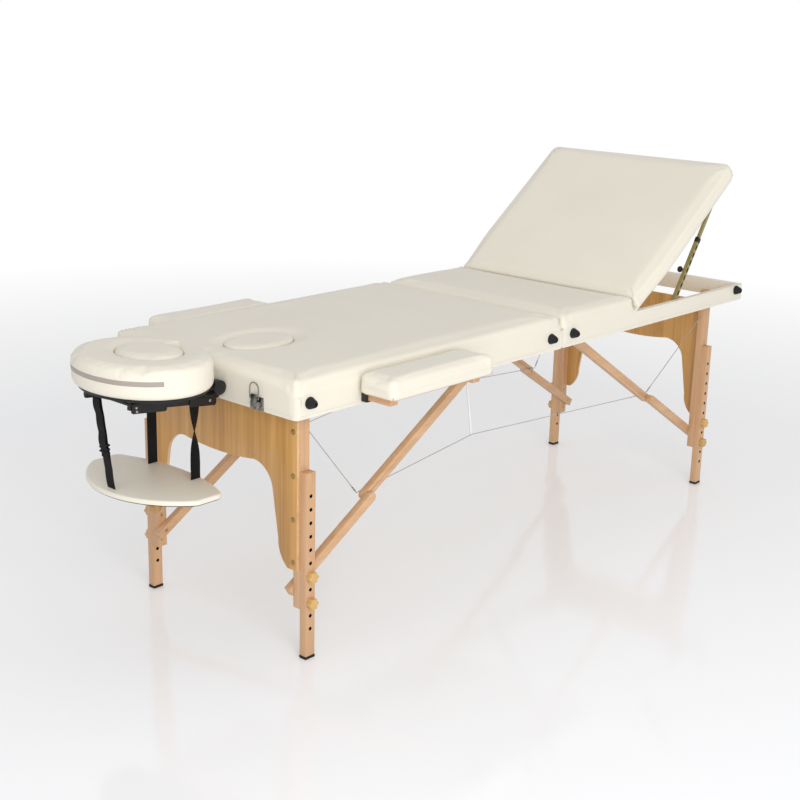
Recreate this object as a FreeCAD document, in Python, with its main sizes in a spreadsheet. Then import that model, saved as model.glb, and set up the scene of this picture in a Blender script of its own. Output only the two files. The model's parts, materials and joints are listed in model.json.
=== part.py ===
import FreeCAD, Part
import math
import os
import re

V = FreeCAD.Vector

# Driving sizes in millimetres; angles in degrees
DIMS = {
    # table frame and tops
    "half_length": 925,
    "half_width": 307,
    "rail_thick": 15,
    "rail_high": 46,
    "cross_thick": 18,
    "cross_short": 7,
    "deck_thick": 5,
    "pad_thick": 39,
    "pad_corner": 12,
    "pad_seam": 0.6,
    "fold_gap": 1,
    "frame_up": 570,
    # clearances
    "slide_gap": 0.3,
    "lane_gap": 0.4,
    "run_fit": 0.05,
    # leg sets
    "head_leg_inset": 72,
    "foot_leg_inset": 119,
    "leg_wide": 27,
    "post_thick": 20,
    "ext_thick": 19.5,
    "ext_slim": 0.2,
    "panel_thick": 8,
    "panel_top": -26,
    "recess_clear": 2,
    "post_end_up": 116,
    "ext_top_up": 435,
    "foot_high": 7,
    "foot_proud": 1,
    "hole_low": 72,
    "hole_pitch": 31,
    "hole_clear": 0.3,
    "bolt_dia": 8,
    "knob_dia": 27,
    "knob_thick": 12.5,
    "knob_room": 0.7,
    "screw_dia": 9,
    "screw_proud": 1,
    "screw_in": 13,
    "screw_pitch": 99.5,
    "screw_top": 70,
    "panel_drop": 363,
    "panel_in": 1,
    "arch_half_in": 137.7,
    "arch_drop": 138,
    "arch_dip": 9,
    "arch_side_in": 77.7,
    "arch_side_drop": 190,
    "arch_bulge": 14.3,
    "strip_wide": 59.7,
    "strip_drop": 300,
    "strip_tip_wide": 29.7,
    "strip_bulge": 9,
    "leg_block_low": 2,
    "leg_block_high": 29.5,
    "brace_block_low": 8,
    "knob_lobe": 4,
    "knob_bore_deep": 8,
    # braces
    "brace_drop": 432,
    "brace_room": 230,
    "brace_wide": 22.5,
    "brace_thick": 17,
    "brace_tail": 22,
    "block_half": 18,
    "brace_block_half": 15,
    "brace_block_thick": 25,
    "cable_dia": 2.4,
    "cable_bend": 12,
    "cable_post_drop": 45,
    "cable_in": 10,
    "cable_over": 6,
    "cable_back": 16,
    "lift_x": 217,
    "lift_z": 205,
    "elastic_dia": 3,
    "elastic_off": 3.2,
    "elastic_run": 44,
    # fold hinge
    "fold_plate_long": 50,
    "fold_plate_thick": 2.5,
    "fold_pin_x": 8,
    "fold_pin_dia": 6,
    "link_round": 7,
    "fold_plate_low": 1,
    "fold_plate_high": 26,
    # face hole
    "hole_in": 175,
    "hole_half_x": 90,
    "hole_half_y": 63,
    "hole_ledge": 12,
    "plug_gap": 0.6,
    "plug_proud": 2,
    # backrest and seat
    "back_x": 345,
    "back_z": 42.3,
    "back_short": 3,
    "back_angle": 36.5,
    "back_corner": 26,
    "back_lift": 0.2,
    "seat_end": 340,
    "seat_lean": 21,
    "back_lean": 22,
    "batten_long": 34,
    "batten_thick": 6,
    "knuckle_dia": 7.4,
    "leaf_thick": 2,
    "leaf_long": 30,
    "hinge_y": 165,
    "hinge_half": 30,
    "hinge_pin_dia": 3,
    # struts
    "strut_low_x": 562,
    "strut_end": 62,
    "strut_z": 36.5,
    "strut_thick": 10.9,
    "strut_wide": 13,
    "channel_long": 204,
    "bar_thick": 7.9,
    "bar_wide": 10,
    "bar_start": 107,
    "bar_past": 7,
    "strut_pin_dia": 6,
    "strut_knob_dia": 17,
    "strut_knob_at": 102,
    "strut_knob_deep": 14,
    "strut_stem_dia": 7,
    "strut_stem": 6,
    "strut_end_round": 8,
    "strut_slot_first": 24,
    "strut_slot_pitch": 24,
    "strut_slot_long": 14,
    "strut_slot_wide": 4.4,
    "strut_fit": 0.35,
    "anchor_thick": 1.4,
    "anchor_half": 16,
    "anchor_low": 13,
    "anchor_high": 9,
    "bracket_half": 24,
    "bracket_ear": 10,
    "bracket_thick": 2.5,
    "bracket_low": 8,
    # rail fittings
    "bumper_dia": 28,
    "bumper_tip": 15,
    "bumper_high": 20,
    "bumper_z": 33,
    "bumper_nose": 4,
    "bumper_lip": 1.6,
    "bumper_end": 2,
    "head_bumper_in": 38,
    "head_bumper_fold": 50,
    "foot_bumper_fold": 44,
    "foot_bumper_in": 46,
    "handle_long": 150,
    "handle_off": 30,
    "handle_grip": 8,
    "handle_post": 26,
    "handle_low": 12,
    "handle_high": 36,
    "head_handle_x": 250,
    "foot_handle_x": 420,
    "latch_y": 190,
    "latch_half": 20,
    "latch_low": 1,
    "latch_high": 30,
    "latch_plate": 2,
    "latch_ear": 9,
    "latch_ear_half": 1,
    "latch_ear_deep": 12,
    "latch_ear_low": 6,
    "latch_ear_high": 20,
    "latch_pin_off": 8,
    "latch_pin_z": 14,
    "latch_pin_dia": 3,
    "lever_half": 7.6,
    "lever_top": 37,
    "lever_thick": 4,
    "lever_back": 7.6,
    "lever_hub": 3.6,
    "loop_wire": 2.4,
    "loop_half": 11.5,
    "loop_off": 9.6,
    "loop_low": 27,
    "loop_high": 60,
    "catch_half": 14,
    "catch_low": 6,
    "catch_high": 32,
    "catch_plate": 2,
    "catch_proud": 6,
    "catch_lip": 9,
    "catch_lip_z": 20,
    "catch_lip_thick": 3,
    "catch_lip_high": 9,
    # armrests
    "armrest_in_x": 345,
    "armrest_long": 342,
    "armrest_off": 7,
    "armrest_wide": 102,
    "armrest_top": 77,
    "armrest_bar_x": 137.5,
    "bar_across": 24,
    "bar_deep": 14,
    "bar_low": 10,
    "board_thick": 9,
    "socket_deep": 18,
    "socket_wall": 4,
    "board_gap": 0.5,
    "board_in": 4,
    "board_end": 5,
    "board_back": 3,
    "bar_end": 27,
    "armrest_corner": 22,
    # face cradle and shelf
    "rod_dia": 19,
    "rod_y": 58,
    "rod_z": 23,
    "rod_in": 45,
    "mount_gap": 5,
    "mount_deep": 17,
    "mount_half": 72,
    "arm_in": 70,
    "arm_thick": 10,
    "arm_wide": 20,
    "arm_a_off": 35,
    "arm_a_z": 8,
    "arm_b_off": 216,
    "arm_b_z": 30,
    "arm_tip": 29,
    "tip_rod_in": 6,
    "tip_rod_dia": 7,
    "tip_lip": 0.5,
    "lug_thick": 11,
    "mount_low": 4,
    "mount_top": 38,
    "clamp_deep": 19,
    "clamp_stem": 4,
    "clamp_stem_dia": 10,
    "clamp_dia": 32,
    "clamp_off": 19,
    "clamp_z": 32,
    "cushion_off": 151,
    "cushion_half_x": 140,
    "cushion_half_y": 170,
    "cushion_low": 50,
    "cushion_high": 68,
    "insert_off": 133,
    "insert_half_x": 68,
    "insert_half_y": 82,
    "platform_inset": 15,
    "platform_thick": 6,
    "platform_rim": 14,
    "ear_half": 12,
    "ear_thick": 9.7,
    "mouth_half": 32,
    "insert_gap": 1,
    "insert_proud": 4,
    "shelf_in_off": 53,
    "shelf_end_off": 92,
    "shelf_side_off": 158,
    "shelf_out_off": 257,
    "shelf_corner": 22,
    "shelf_half": 183,
    "shelf_thick": 13,
    "shelf_z": 165,
    "strap_wide": 25,
    "strap_thick": 2,
    "strap_y": 74,
    "strap_in": 10,
    "lean_foot": 10,
    "lean_head": 52,
    "strap_gap": 2,
}

# Values worked out from the driving sizes
CALC = {
    "hole_x": "=half_length - hole_in",
    "armrest_x": "=half_length - armrest_in_x",
    "armrest_in": "=half_width + armrest_off",
    "armrest_out": "=armrest_in + armrest_wide",
    "rod_end": "=half_length - rod_in",
    "mount_face": "=half_length + mount_gap",
    "arm_a_x": "=half_length + arm_a_off",
    "arm_b_x": "=half_length + arm_b_off",
    "clamp_x": "=half_length + clamp_off",
    "cushion_x": "=half_length + cushion_off",
    "insert_x": "=half_length + insert_off",
    "shelf_in": "=half_length + shelf_in_off",
    "shelf_out": "=half_length + shelf_out_off",
    "shelf_end": "=half_length + shelf_end_off",
    "shelf_side": "=half_length + shelf_side_off",
    "back_end": "=half_length - back_short",
    "strut_up_x": "=back_end - strut_end",
    "fold_x": "=(cushion_x + cushion_half_x - half_length - catch_proud) / 2",
    "side_in": "=half_width - rail_thick",
    "half_end": "=fold_gap / 2",
    "knob_out": "=side_in - knob_room",
    "knob_in": "=knob_out - knob_thick",
    "ext_out": "=knob_in - slide_gap",
    "ext_in": "=ext_out - ext_thick",
    "post_out": "=ext_in - slide_gap",
    "post_in": "=post_out - post_thick",
    "low_out": "=post_in - lane_gap",
    "low_in": "=low_out - brace_thick",
    "up_out": "=low_in - lane_gap",
    "up_in": "=up_out - brace_thick",
    "cable_y": "=up_in - slide_gap - cable_dia / 2",
    "panel_half": "=post_out - panel_in",
    "arch_half": "=panel_half - arch_half_in",
    "arch_side": "=panel_half - arch_side_in",
    "strip_in": "=panel_half - strip_wide",
    "strip_tip": "=panel_half - strip_tip_wide",
    "leg_half": "=leg_wide / 2",
    "bolt_rad": "=bolt_dia / 2",
    "bore_rad": "=bolt_rad + run_fit",
    "pivot_up": "=recess_clear + panel_thick + leg_half",
    "leg_long": "=frame_up + pivot_up",
    "head_leg_x": "=head_leg_inset - half_length",
    "foot_leg_x": "=half_length - foot_leg_inset",
    "brace_run": "=half_length - brace_room",
    "brace_angle": "=atan(brace_drop / brace_run)",
    "brace_span": "=sqrt(brace_drop * brace_drop + brace_run * brace_run)",
    "up_long": "=(brace_span + brace_run - brace_drop) / 2",
    "low_long": "=(brace_span - brace_run + brace_drop) / 2",
    "deck_top": "=rail_high + deck_thick",
    "fold_pin_z": "=fold_pin_x - fold_gap / 2",
    "fold_round": "=fold_pin_x - fold_gap / 2",
    "plate_in": "=side_in - fold_plate_thick",
    "link_out": "=plate_in - slide_gap",
    "link_in": "=link_out - fold_plate_thick",
    "fold_pin_rad": "=fold_pin_dia / 2",
    "knuckle_rad": "=knuckle_dia / 2",
    "back_long": "=back_end - back_x",
    "back_low": "=rail_high + back_lift - back_z",
    "strut_out": "=side_in - anchor_thick - lane_gap",
    "strut_in": "=strut_out - strut_thick",
    "strut_mid": "=strut_out - strut_thick / 2",
    "up_pin_x": "=strut_up_x - back_x",
    "up_pin_z": "=strut_z - back_z",
    "back_cos": "=cos(back_angle * 1 deg)",
    "back_sin": "=sin(back_angle * 1 deg)",
    "strut_dx": "=back_x + up_pin_x * back_cos - up_pin_z * back_sin - strut_low_x",
    "strut_dz": "=back_z + up_pin_x * back_sin + up_pin_z * back_cos - strut_z",
    "strut_angle": "=atan(strut_dz / strut_dx)",
    "strut_long": "=sqrt(strut_dx * strut_dx + strut_dz * strut_dz)",
    "arm_rise": "=arm_b_z - arm_a_z",
    "arm_run": "=arm_b_x - arm_a_x",
    "arm_angle": "=atan(arm_rise / arm_run)",
    "arm_long": "=sqrt(arm_rise * arm_rise + arm_run * arm_run)",
    "arm_out": "=arm_in + arm_thick",
    "bar_high": "=bar_low + bar_deep",
    "board_low": "=bar_high + socket_wall + board_gap",
    "board_top": "=board_low + board_thick",
    "board_far": "=half_width + socket_deep + board_back",
    "mount_end": "=mount_face + mount_deep",
    "platform_low": "=cushion_low - platform_thick",
    "strap_x": "=shelf_in + strap_wide / 2 + strap_in",
    "under_arm": "=arm_a_z + arm_rise / arm_run * (strap_x - arm_a_x) - arm_wide / 2 - strap_gap",
    "tip_reach": "=arm_long + arm_tip - tip_rod_in",
    "tip_x": "=arm_a_x + tip_reach * arm_run / arm_long",
    "tip_z": "=arm_a_z + tip_reach * arm_rise / arm_long",
}

doc = FreeCAD.newDocument("massage_table")
LENGTHWISE = V(1, 0, 0)
CROSSWISE = V(0, 1, 0)
TURNS = {
    "x": FreeCAD.Rotation(V(0, 1, 0), 90),
    "y": FreeCAD.Rotation(V(1, 0, 0), -90),
    "z": FreeCAD.Rotation(),
}
NODES = []


def full(text):
    """Return an expression in which every alias carries its sheet's name."""

    def named(match):
        word = match.group(0)
        if word in DIMS:
            return "dims." + word
        return "calc." + word if word in CALC else word

    return re.sub(r"[a-z_]+", named, str(text))


def write_sheet(name, rows):
    """Fill a sheet with one aliased cell for each row."""
    sheet = doc.addObject("Spreadsheet::Sheet", name)
    for line, (alias, value) in enumerate(rows.items(), start=1):
        sheet.set("A%d" % line, alias)
        sheet.setAlias("B%d" % line, alias)
        sheet.set("B%d" % line, full(value) if name == "calc" else str(value))
    doc.recompute()
    return sheet


dims = write_sheet("dims", DIMS)
calc = write_sheet("calc", CALC)


def num(name):
    """Return a sheet value as a plain number."""
    value = (dims if name in DIMS else calc).get(name)
    return float(getattr(value, "Value", value))


def at(obj, x="0", y="0", z="0"):
    """Bind an object's position."""
    for axis, text in zip("xyz", (x, y, z)):
        obj.setExpression("Placement.Base." + axis, full(text))
    return obj


def turned(obj, axis, angle):
    """Turn an object by a bound angle about an axis through its own origin."""
    obj.Placement.Rotation = FreeCAD.Rotation(axis, 10)
    obj.setExpression("Placement.Rotation.Angle", full(angle))
    return obj


def box(x, y, z):
    """Return a block between two bound limits on each axis."""
    obj = doc.addObject("Part::Box", "block")
    for prop, (low, high) in zip(("Length", "Width", "Height"), (x, y, z)):
        obj.setExpression(prop, full("(%s) - (%s)" % (high, low)))
    return at(obj, x[0], y[0], z[0])


def rod(axis, radius, span, u, w):
    """Return a cylinder along an axis; u and w are its place on the other two axes in order."""
    obj = doc.addObject("Part::Cylinder", "rod")
    obj.Placement.Rotation = TURNS[axis]
    obj.setExpression("Radius", full(radius))
    obj.setExpression("Height", full("(%s) - (%s)" % (span[1], span[0])))
    spot = {"x": (span[0], u, w), "y": (u, span[0], w), "z": (u, w, span[0])}[axis]
    return at(obj, *spot)


def cone(radius, tip, span, u, w):
    """Return a cone frustum along -Y that stands on the plane of its first limit."""
    obj = doc.addObject("Part::Cone", "cone")
    obj.Placement.Rotation = FreeCAD.Rotation(V(1, 0, 0), 90)
    obj.setExpression("Radius1", full(radius))
    obj.setExpression("Radius2", full(tip))
    obj.setExpression("Height", full("(%s) - (%s)" % (span[0], span[1])))
    return at(obj, u, span[0], w)


def group(members, name="group"):
    """Return a compound of objects."""
    obj = doc.addObject("Part::Compound", name)
    obj.Links = list(members)
    return obj


def fuse(*members):
    """Return the union of objects."""
    obj = doc.addObject("Part::MultiFuse", "union")
    obj.Shapes = list(members)
    obj.Refine = True
    return obj


def cut(base, *tools):
    """Return an object with tools taken away."""
    obj = doc.addObject("Part::Cut", "cut")
    obj.Base = base
    obj.Tool = tools[0] if len(tools) == 1 else group(tools)
    return obj


def solid(shape):
    """Return an object that holds a shape worked out from the sheets."""
    obj = doc.addObject("Part::Feature", "solid")
    obj.Shape = shape
    return obj


def mirror(obj, normal):
    """Return an object's twin on the other side of the plane through the origin."""
    twin = doc.addObject("Part::Mirroring", "twin")
    twin.Source = obj
    twin.Base = V()
    twin.Normal = normal
    return twin


def pair(obj):
    """Return a near object and its far twin."""
    return [obj, mirror(obj, CROSSWISE)]


def node(label, members, x="fold_x", z="frame_up", turn=None):
    """Make one exported node from objects that share a local frame."""
    obj = group(members, label)
    if turn:
        turned(obj, *turn)
    at(obj, x, "0", z)
    obj.Label = label
    NODES.append(obj)
    return obj


# Shapes drawn from lines and arcs
def rounded_wire(x0, x1, y0, y1, r0, r1, z):
    """Return a rectangle with corners of radius r0 at its x0 end and r1 at its x1 end."""
    k = 1 - math.sqrt(0.5)
    corners = ((x0, y0, r0, 1, 1), (x1, y0, r1, -1, 1), (x1, y1, r1, -1, -1), (x0, y1, r0, 1, -1))
    arcs = []
    for turn, (x, y, r, sx, sy) in enumerate(corners):
        across, along = V(x, y + sy * r, z), V(x + sx * r, y, z)
        middle = V(x + sx * r * k, y + sy * r * k, z)
        ends = (across, along) if turn % 2 == 0 else (along, across)
        arcs.append((ends[0], middle, ends[1]))
    edges = []
    for index, (start, middle, end) in enumerate(arcs):
        edges.append(Part.Arc(start, middle, end).toShape())
        edges.append(Part.makeLine(end, arcs[(index + 1) % 4][0]))
    return Part.Wire(edges)


def oval_wire(cx, half_x, half_y, z, cy=0):
    """Return an oval of eight arcs."""

    def spot(step):
        angle = step * math.pi / 8
        return V(cx + half_x * math.cos(angle), cy + half_y * math.sin(angle), z)

    return Part.Wire([Part.Arc(spot(i), spot(i + 1), spot(i + 2)).toShape() for i in range(0, 16, 2)])


def prism(wire, high):
    """Return a wire's face pushed up by a height."""
    return Part.Face(wire).extrude(V(0, 0, high))


PAD_SIDE = ((0, 2.2), (0.2, 0), (0.6, 0.6), (0.8, 4), (0.93, 12), (1, 36))


def pad(x0, x1, half, z, high, r0, r1, lean0=0, lean1=0, y_mid=0, side=PAD_SIDE):
    """Return a cushion with drawn-in sides and a crown; its ends may lean in towards the top."""
    wires = []
    for part, inset in side:
        a = x0 + max(inset, lean0 * part)
        b = x1 - max(inset, lean1 * part)
        y = half - inset
        corners = max(r0 - inset, 3), max(r1 - inset, 3)
        wires.append(rounded_wire(a, b, y_mid - y, y_mid + y, *corners, z + high * part))
    return Part.makeLoft(wires, True, True)


def oval_pad(cx, half_x, half_y, z, high, side):
    """Return an oval cushion."""
    wires = [oval_wire(cx, half_x - inset, half_y - inset, z + high * part) for part, inset in side]
    return Part.makeLoft(wires, True, True)


def side_rails(sign):
    """Return a half's two side rails and its fold cross rail, rounded below about the fold pins."""
    def span(low, high):
        return (low, high) if sign > 0 else ("-(%s)" % high, "-(%s)" % low)

    def rounded(x_far, y_low, y_high):
        return fuse(
            box(span("fold_pin_x", x_far), (y_low, y_high), ("0", "rail_high")),
            box(span("half_end", "fold_pin_x"), (y_low, y_high), ("fold_pin_z", "rail_high")),
            rod("y", "fold_round", (y_low, y_high), "%d * fold_pin_x" % sign, "fold_pin_z"),
        )

    rail = rounded("half_length", "-half_width", "-side_in")
    cross_half = "(side_in - cross_short)"
    return pair(rail) + [rounded("half_end + cross_thick", "-" + cross_half, cross_half)]


# Head half
rod_hole = "rod_dia / 2 + slide_gap"
head_cross = cut(
    box(("-half_length", "cross_thick - half_length"), ("-side_in", "side_in"), ("0", "rail_high")),
    *pair(rod("x", rod_hole, ("-half_length - 5", "cross_thick - half_length + 5"), "-rod_y", "rod_z")),
)
ledge_wire = oval_wire(
    -num("hole_x"), num("hole_half_x") - num("hole_ledge"), num("hole_half_y") - num("hole_ledge"), 0
)
head_deck = cut(
    box(("-half_length", "-half_end"), ("-half_width", "half_width"), ("rail_high", "deck_top")),
    solid(prism(ledge_wire, num("deck_top") + 1)),
)
node("head_frame", side_rails(-1) + [head_cross, head_deck])

hole_wire = oval_wire(-num("hole_x"), num("hole_half_x"), num("hole_half_y"), 0)
head_top = pad(
    -num("half_length"), -num("half_end") - num("pad_seam"), num("half_width"), num("deck_top"),
    num("pad_thick"), num("pad_corner"), num("pad_corner") / 2,
)
node("head_pad", [solid(head_top.cut(prism(hole_wire, num("deck_top") + num("pad_thick") + 1)))])

PLUG_SIDE = ((0, 1), (0.15, 0), (0.8, 0), (0.93, 3), (1, 9))
plug = oval_pad(
    -num("hole_x"), num("hole_half_x") - num("plug_gap"), num("hole_half_y") - num("plug_gap"),
    num("deck_top"), num("pad_thick") + num("plug_proud"), PLUG_SIDE,
)
node("face_plug", [solid(plug)])


# Foot half
seat_deck = box(("half_end", "seat_end"), ("-half_width", "half_width"), ("rail_high", "deck_top"))
foot_cross = box(("half_length - cross_thick", "half_length"), ("-side_in", "side_in"), ("0", "rail_high"))
batten_half = "(side_in - cross_short)"
batten = box(
    ("seat_end - batten_long", "seat_end"), ("-" + batten_half, batten_half),
    ("rail_high - batten_thick", "rail_high"),
)
node("foot_frame", side_rails(1) + [foot_cross, seat_deck, batten])
seat_top = pad(
    num("half_end") + num("pad_seam"), num("seat_end"), num("half_width"), num("deck_top"), num("pad_thick"),
    num("pad_corner") / 2, num("pad_corner"), 0, num("seat_lean"),
)
node("seat_pad", [solid(seat_top)])


# Blocks that carry the legs and the braces, in a frame at the leg pivot
leg_block = cut(
    box(
        ("-block_half", "block_half"), ("-side_in", "-post_out - slide_gap"),
        ("leg_block_low - pivot_up", "leg_block_high - pivot_up"),
    ),
    rod("y", "bore_rad", ("-side_in - 1", "-post_in"), "0", "0"),
)
brace_block = cut(
    box(
        ("brace_run - brace_block_half", "brace_run + brace_block_half"),
        ("-low_in - brace_block_thick", "-low_in"), ("brace_block_low - pivot_up", "rail_high - pivot_up"),
    ),
    rod("y", "bore_rad", ("-low_in - brace_block_thick - 1", "-low_in + 1"), "brace_run", "0"),
)
blocks = pair(leg_block) + pair(brace_block)

# Leg set pieces, in the same frame; the head set runs towards +X
BOLT_HOLES = (2, 4)
HOLE_COUNT = 11


def hole_z(step):
    """Return the height of one of the leg's holes above its pivot."""
    return "hole_low + %d * hole_pitch - leg_long" % step


through_post = ("-post_out - 1", "-post_in + 1")
post = cut(
    fuse(
        box(("-leg_half", "leg_half"), ("-post_out", "-post_in"), ("post_end_up - leg_long", "0")),
        rod("y", "leg_half", ("-post_out", "-post_in"), "0", "0"),
    ),
    rod("y", "bolt_rad", through_post, "0", "0"),
    rod("y", "bolt_rad", through_post, "0", "-brace_drop"),
    *[rod("y", "bolt_rad", through_post, "0", hole_z(step)) for step in BOLT_HOLES],
)
posts = pair(post)


def bowed(start, end, bulge):
    """Return an arc in a plane of constant x that bows towards the middle plane's far side by a height."""
    chord = end - start
    normal = V(0, -chord.z, chord.y).normalize()
    return Part.Arc(start, (start + end) / 2 + normal * bulge, end).toShape()


def panel_shape():
    """Return the arched end panel as a plate across both posts."""
    low = -num("pivot_up")
    edge = num("panel_half")
    top, thick = num("panel_top"), num("panel_thick")
    face = -num("leg_half") - thick

    def spot(y, drop):
        return V(face, y, low - drop)

    def side(sign):
        shoulder = spot(sign * num("arch_half"), num("arch_drop"))
        hip = spot(sign * num("arch_side"), num("arch_side_drop"))
        knee = spot(sign * num("strip_in"), num("strip_drop"))
        tip = spot(sign * num("strip_tip"), num("panel_drop"))
        corner = spot(sign * edge, num("panel_drop"))
        return [
            bowed(shoulder, hip, sign * num("arch_bulge")),
            Part.makeLine(hip, knee),
            bowed(knee, tip, -sign * num("strip_bulge")),
            Part.makeLine(tip, corner),
            Part.makeLine(corner, V(face, sign * edge, top)),
        ]

    left, right = (spot(sign * num("arch_half"), num("arch_drop")) for sign in (-1, 1))
    crown = Part.Arc(left, spot(0, num("arch_drop") + num("arch_dip")), right).toShape()
    close = Part.makeLine(V(face, -edge, top), V(face, edge, top))
    wire = Part.Wire(Part.__sortEdges__(side(1) + side(-1) + [crown, close]))
    return Part.Face(wire).extrude(V(thick, 0, 0))


panel = [solid(panel_shape())]

extension = cut(
    box(
        ("ext_slim - leg_half", "leg_half - ext_slim"), ("-ext_out", "-ext_in"),
        ("foot_high - leg_long", "ext_top_up - leg_long"),
    ),
    *[
        rod("y", "bolt_rad + hole_clear", ("-ext_out - 1", "-ext_in + 1"), "0", hole_z(step))
        for step in range(HOLE_COUNT)
    ],
)
extensions = pair(extension)
rubber_foot = box(
    ("-leg_half - foot_proud", "leg_half + foot_proud"), ("-ext_out - foot_proud", "-ext_in + foot_proud"),
    ("-leg_long", "foot_high - leg_long"),
)
rubber_feet = pair(rubber_foot)

face_u = "(-leg_half - panel_thick)"
screws = [
    rod(
        "x", "screw_dia / 2", (face_u + " - screw_proud", face_u), "-post_out + screw_in",
        "-screw_top - %d * screw_pitch" % step,
    )
    for step in range(4)
]
fastener_sources = [
    rod("y", "bolt_rad", ("1 - side_in", "-post_in"), "0", "0"),
    rod("y", "bolt_rad", ("1 - post_out", "-low_in - lane_gap"), "0", "-brace_drop"),
] + [
    rod("y", "bolt_rad", ("1 - knob_in - knob_bore_deep", "-post_in"), "0", hole_z(step))
    for step in BOLT_HOLES
] + screws
leg_fasteners = [twin for source in fastener_sources for twin in pair(source)]

brace_half = "brace_wide / 2"
upper_bar = cut(
    fuse(
        box(("-up_long", "brace_tail"), ("-up_out", "-up_in"), ("-" + brace_half, brace_half)),
        rod("y", brace_half, ("-up_out", "-up_in"), "-up_long", "0"),
    ),
    rod("y", "bolt_rad", ("-up_out - 1", "-up_in + 1"), "0", "0"),
    rod("y", "bolt_rad", ("-up_out - 1", "-up_in + 1"), "-up_long", "0"),
)
upper_pins = [
    rod("y", "bolt_rad", ("1 - low_in - brace_block_thick", "-up_in"), "0", "0"),
    rod("y", "bolt_rad", ("-up_out", "-up_in"), "-up_long", "0"),
]
DIP = V(0, -1, 0)
upper = at(turned(group([upper_bar] + upper_pins), DIP, "brace_angle"), "brace_run", "0", "0")
upper_braces = pair(upper)
lower_bar = cut(
    fuse(
        box(("-brace_tail", "low_long"), ("-low_out", "-low_in"), ("-" + brace_half, brace_half)),
        rod("y", brace_half, ("-low_out", "-low_in"), "low_long", "0"),
    ),
    rod("y", "bore_rad", ("-low_out - 1", "-low_in + 1"), "0", "0"),
)
lower = at(turned(lower_bar, DIP, "brace_angle"), "0", "0", "-brace_drop")
lower_braces = pair(lower)


def star_knob(step):
    """Return a six-lobed knob with a blind bore, on the near side at one bolt."""
    big, deep = num("knob_dia") / 2, num("knob_thick")
    outer = num("knob_out")
    w = num("hole_low") + step * num("hole_pitch") - num("leg_long")
    lobe_rad, bore_deep = num("knob_lobe"), num("knob_bore_deep")
    ring = big - lobe_rad
    shape = Part.makeCylinder(ring + 1, deep, V(0, -outer, w), CROSSWISE)
    for lobe in range(6):
        angle = math.pi * lobe / 3
        place = V(ring * math.cos(angle), -outer, w + ring * math.sin(angle))
        shape = shape.fuse(Part.makeCylinder(lobe_rad, deep, place, CROSSWISE))
    bore_end = V(0, -num("knob_in") - bore_deep, w)
    bore = Part.makeCylinder(num("bore_rad"), bore_deep + 1, bore_end, CROSSWISE)
    return solid(shape.cut(bore).removeSplitter())


low_knob, high_knob = [star_knob(step) for step in BOLT_HOLES]
far_low_knob, far_high_knob = mirror(low_knob, CROSSWISE), mirror(high_knob, CROSSWISE)
LEG_NODES = {
    "pivot_blocks": blocks,
    "posts": posts,
    "panel": panel,
    "leg_fasteners": leg_fasteners,
    "leg_extensions": extensions,
    "rubber_feet": rubber_feet,
    "near_low_knob": [low_knob],
    "near_high_knob": [high_knob],
    "far_low_knob": [far_low_knob],
    "far_high_knob": [far_high_knob],
    "upper_braces": upper_braces,
    "lower_braces": lower_braces,
}
for name, members in LEG_NODES.items():
    node("head_" + name, members, "fold_x + head_leg_x", "frame_up + pivot_up")
    twins = [mirror(member, LENGTHWISE) for member in members]
    node("foot_" + name, twins, "fold_x + foot_leg_x", "frame_up + pivot_up")


# Leg cables and the elastics that lift them
def bent_wire(points, bend):
    """Return straight runs through points, joined by arcs of one radius."""
    edges = []
    start = points[0]
    for before, here, after in zip(points, points[1:], points[2:]):
        back = (before - here).normalize()
        onward = (after - here).normalize()
        half = back.getAngle(onward) / 2
        reach = bend / math.tan(half)
        middle = here + (back + onward).normalize() * (bend / math.sin(half) - bend)
        edges.append(Part.makeLine(start, here + back * reach))
        edges.append(Part.Arc(here + back * reach, middle, here + onward * reach).toShape())
        start = here + onward * reach
    edges.append(Part.makeLine(start, points[-1]))
    return Part.Wire(edges)


def tube(points, radius, bend):
    """Return a round cord along a bent wire."""
    ring = Part.Wire([Part.makeCircle(radius, points[0], points[1] - points[0])])
    return solid(bent_wire(points, bend).makePipeShell([ring], True, True))


def cable_points():
    """Return the near cable's bends from the head posts to the foot posts."""
    angle = math.radians(num("brace_angle"))
    drop = num("up_long") * math.sin(angle)
    reach = num("brace_run") - num("up_long") * math.cos(angle) - num("cable_back")
    over = num("pivot_up") - drop + num("cable_over")
    post_y, lane = num("post_out") - num("cable_in"), num("cable_y")
    gap = num("leg_half") + num("slide_gap") + num("cable_dia") / 2
    head, foot = num("head_leg_x"), num("foot_leg_x")
    post_z = -num("cable_post_drop")
    lift = V(-num("lift_x"), -lane, -num("lift_z"))
    return [
        V(head + gap, -post_y, post_z), V(head + reach, -lane, over), lift,
        V(foot - reach, -lane, over), V(foot - gap, -post_y, post_z),
    ]


def elastic_points():
    """Return the ends of the near elastic, beside the cable and under the deck."""
    y = num("elastic_off") - num("cable_y")
    low = V(-num("lift_x"), y, -num("lift_z") - num("cable_dia"))
    return [low, V(-num("lift_x") - num("elastic_run"), y, num("rail_high") - 1)]


cable = tube(cable_points(), num("cable_dia") / 2, num("cable_bend"))
elastic = tube(elastic_points(), num("elastic_dia") / 2, num("cable_bend"))
node("leg_cables", pair(cable) + pair(elastic))


# Fold hinge
def fold_plate(sign):
    """Return the near fold plate of one half with its pin."""
    low, high = "half_end + 1", "fold_plate_long"
    span = (low, high) if sign > 0 else ("-" + high, "-(%s)" % low)
    return fuse(
        box(span, ("-side_in", "-plate_in"), ("fold_plate_low", "fold_plate_high")),
        rod(
            "y", "fold_pin_rad", ("-plate_in - 1", "-link_in + slide_gap"), "%d * fold_pin_x" % sign,
            "fold_pin_z",
        ),
    )


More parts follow.
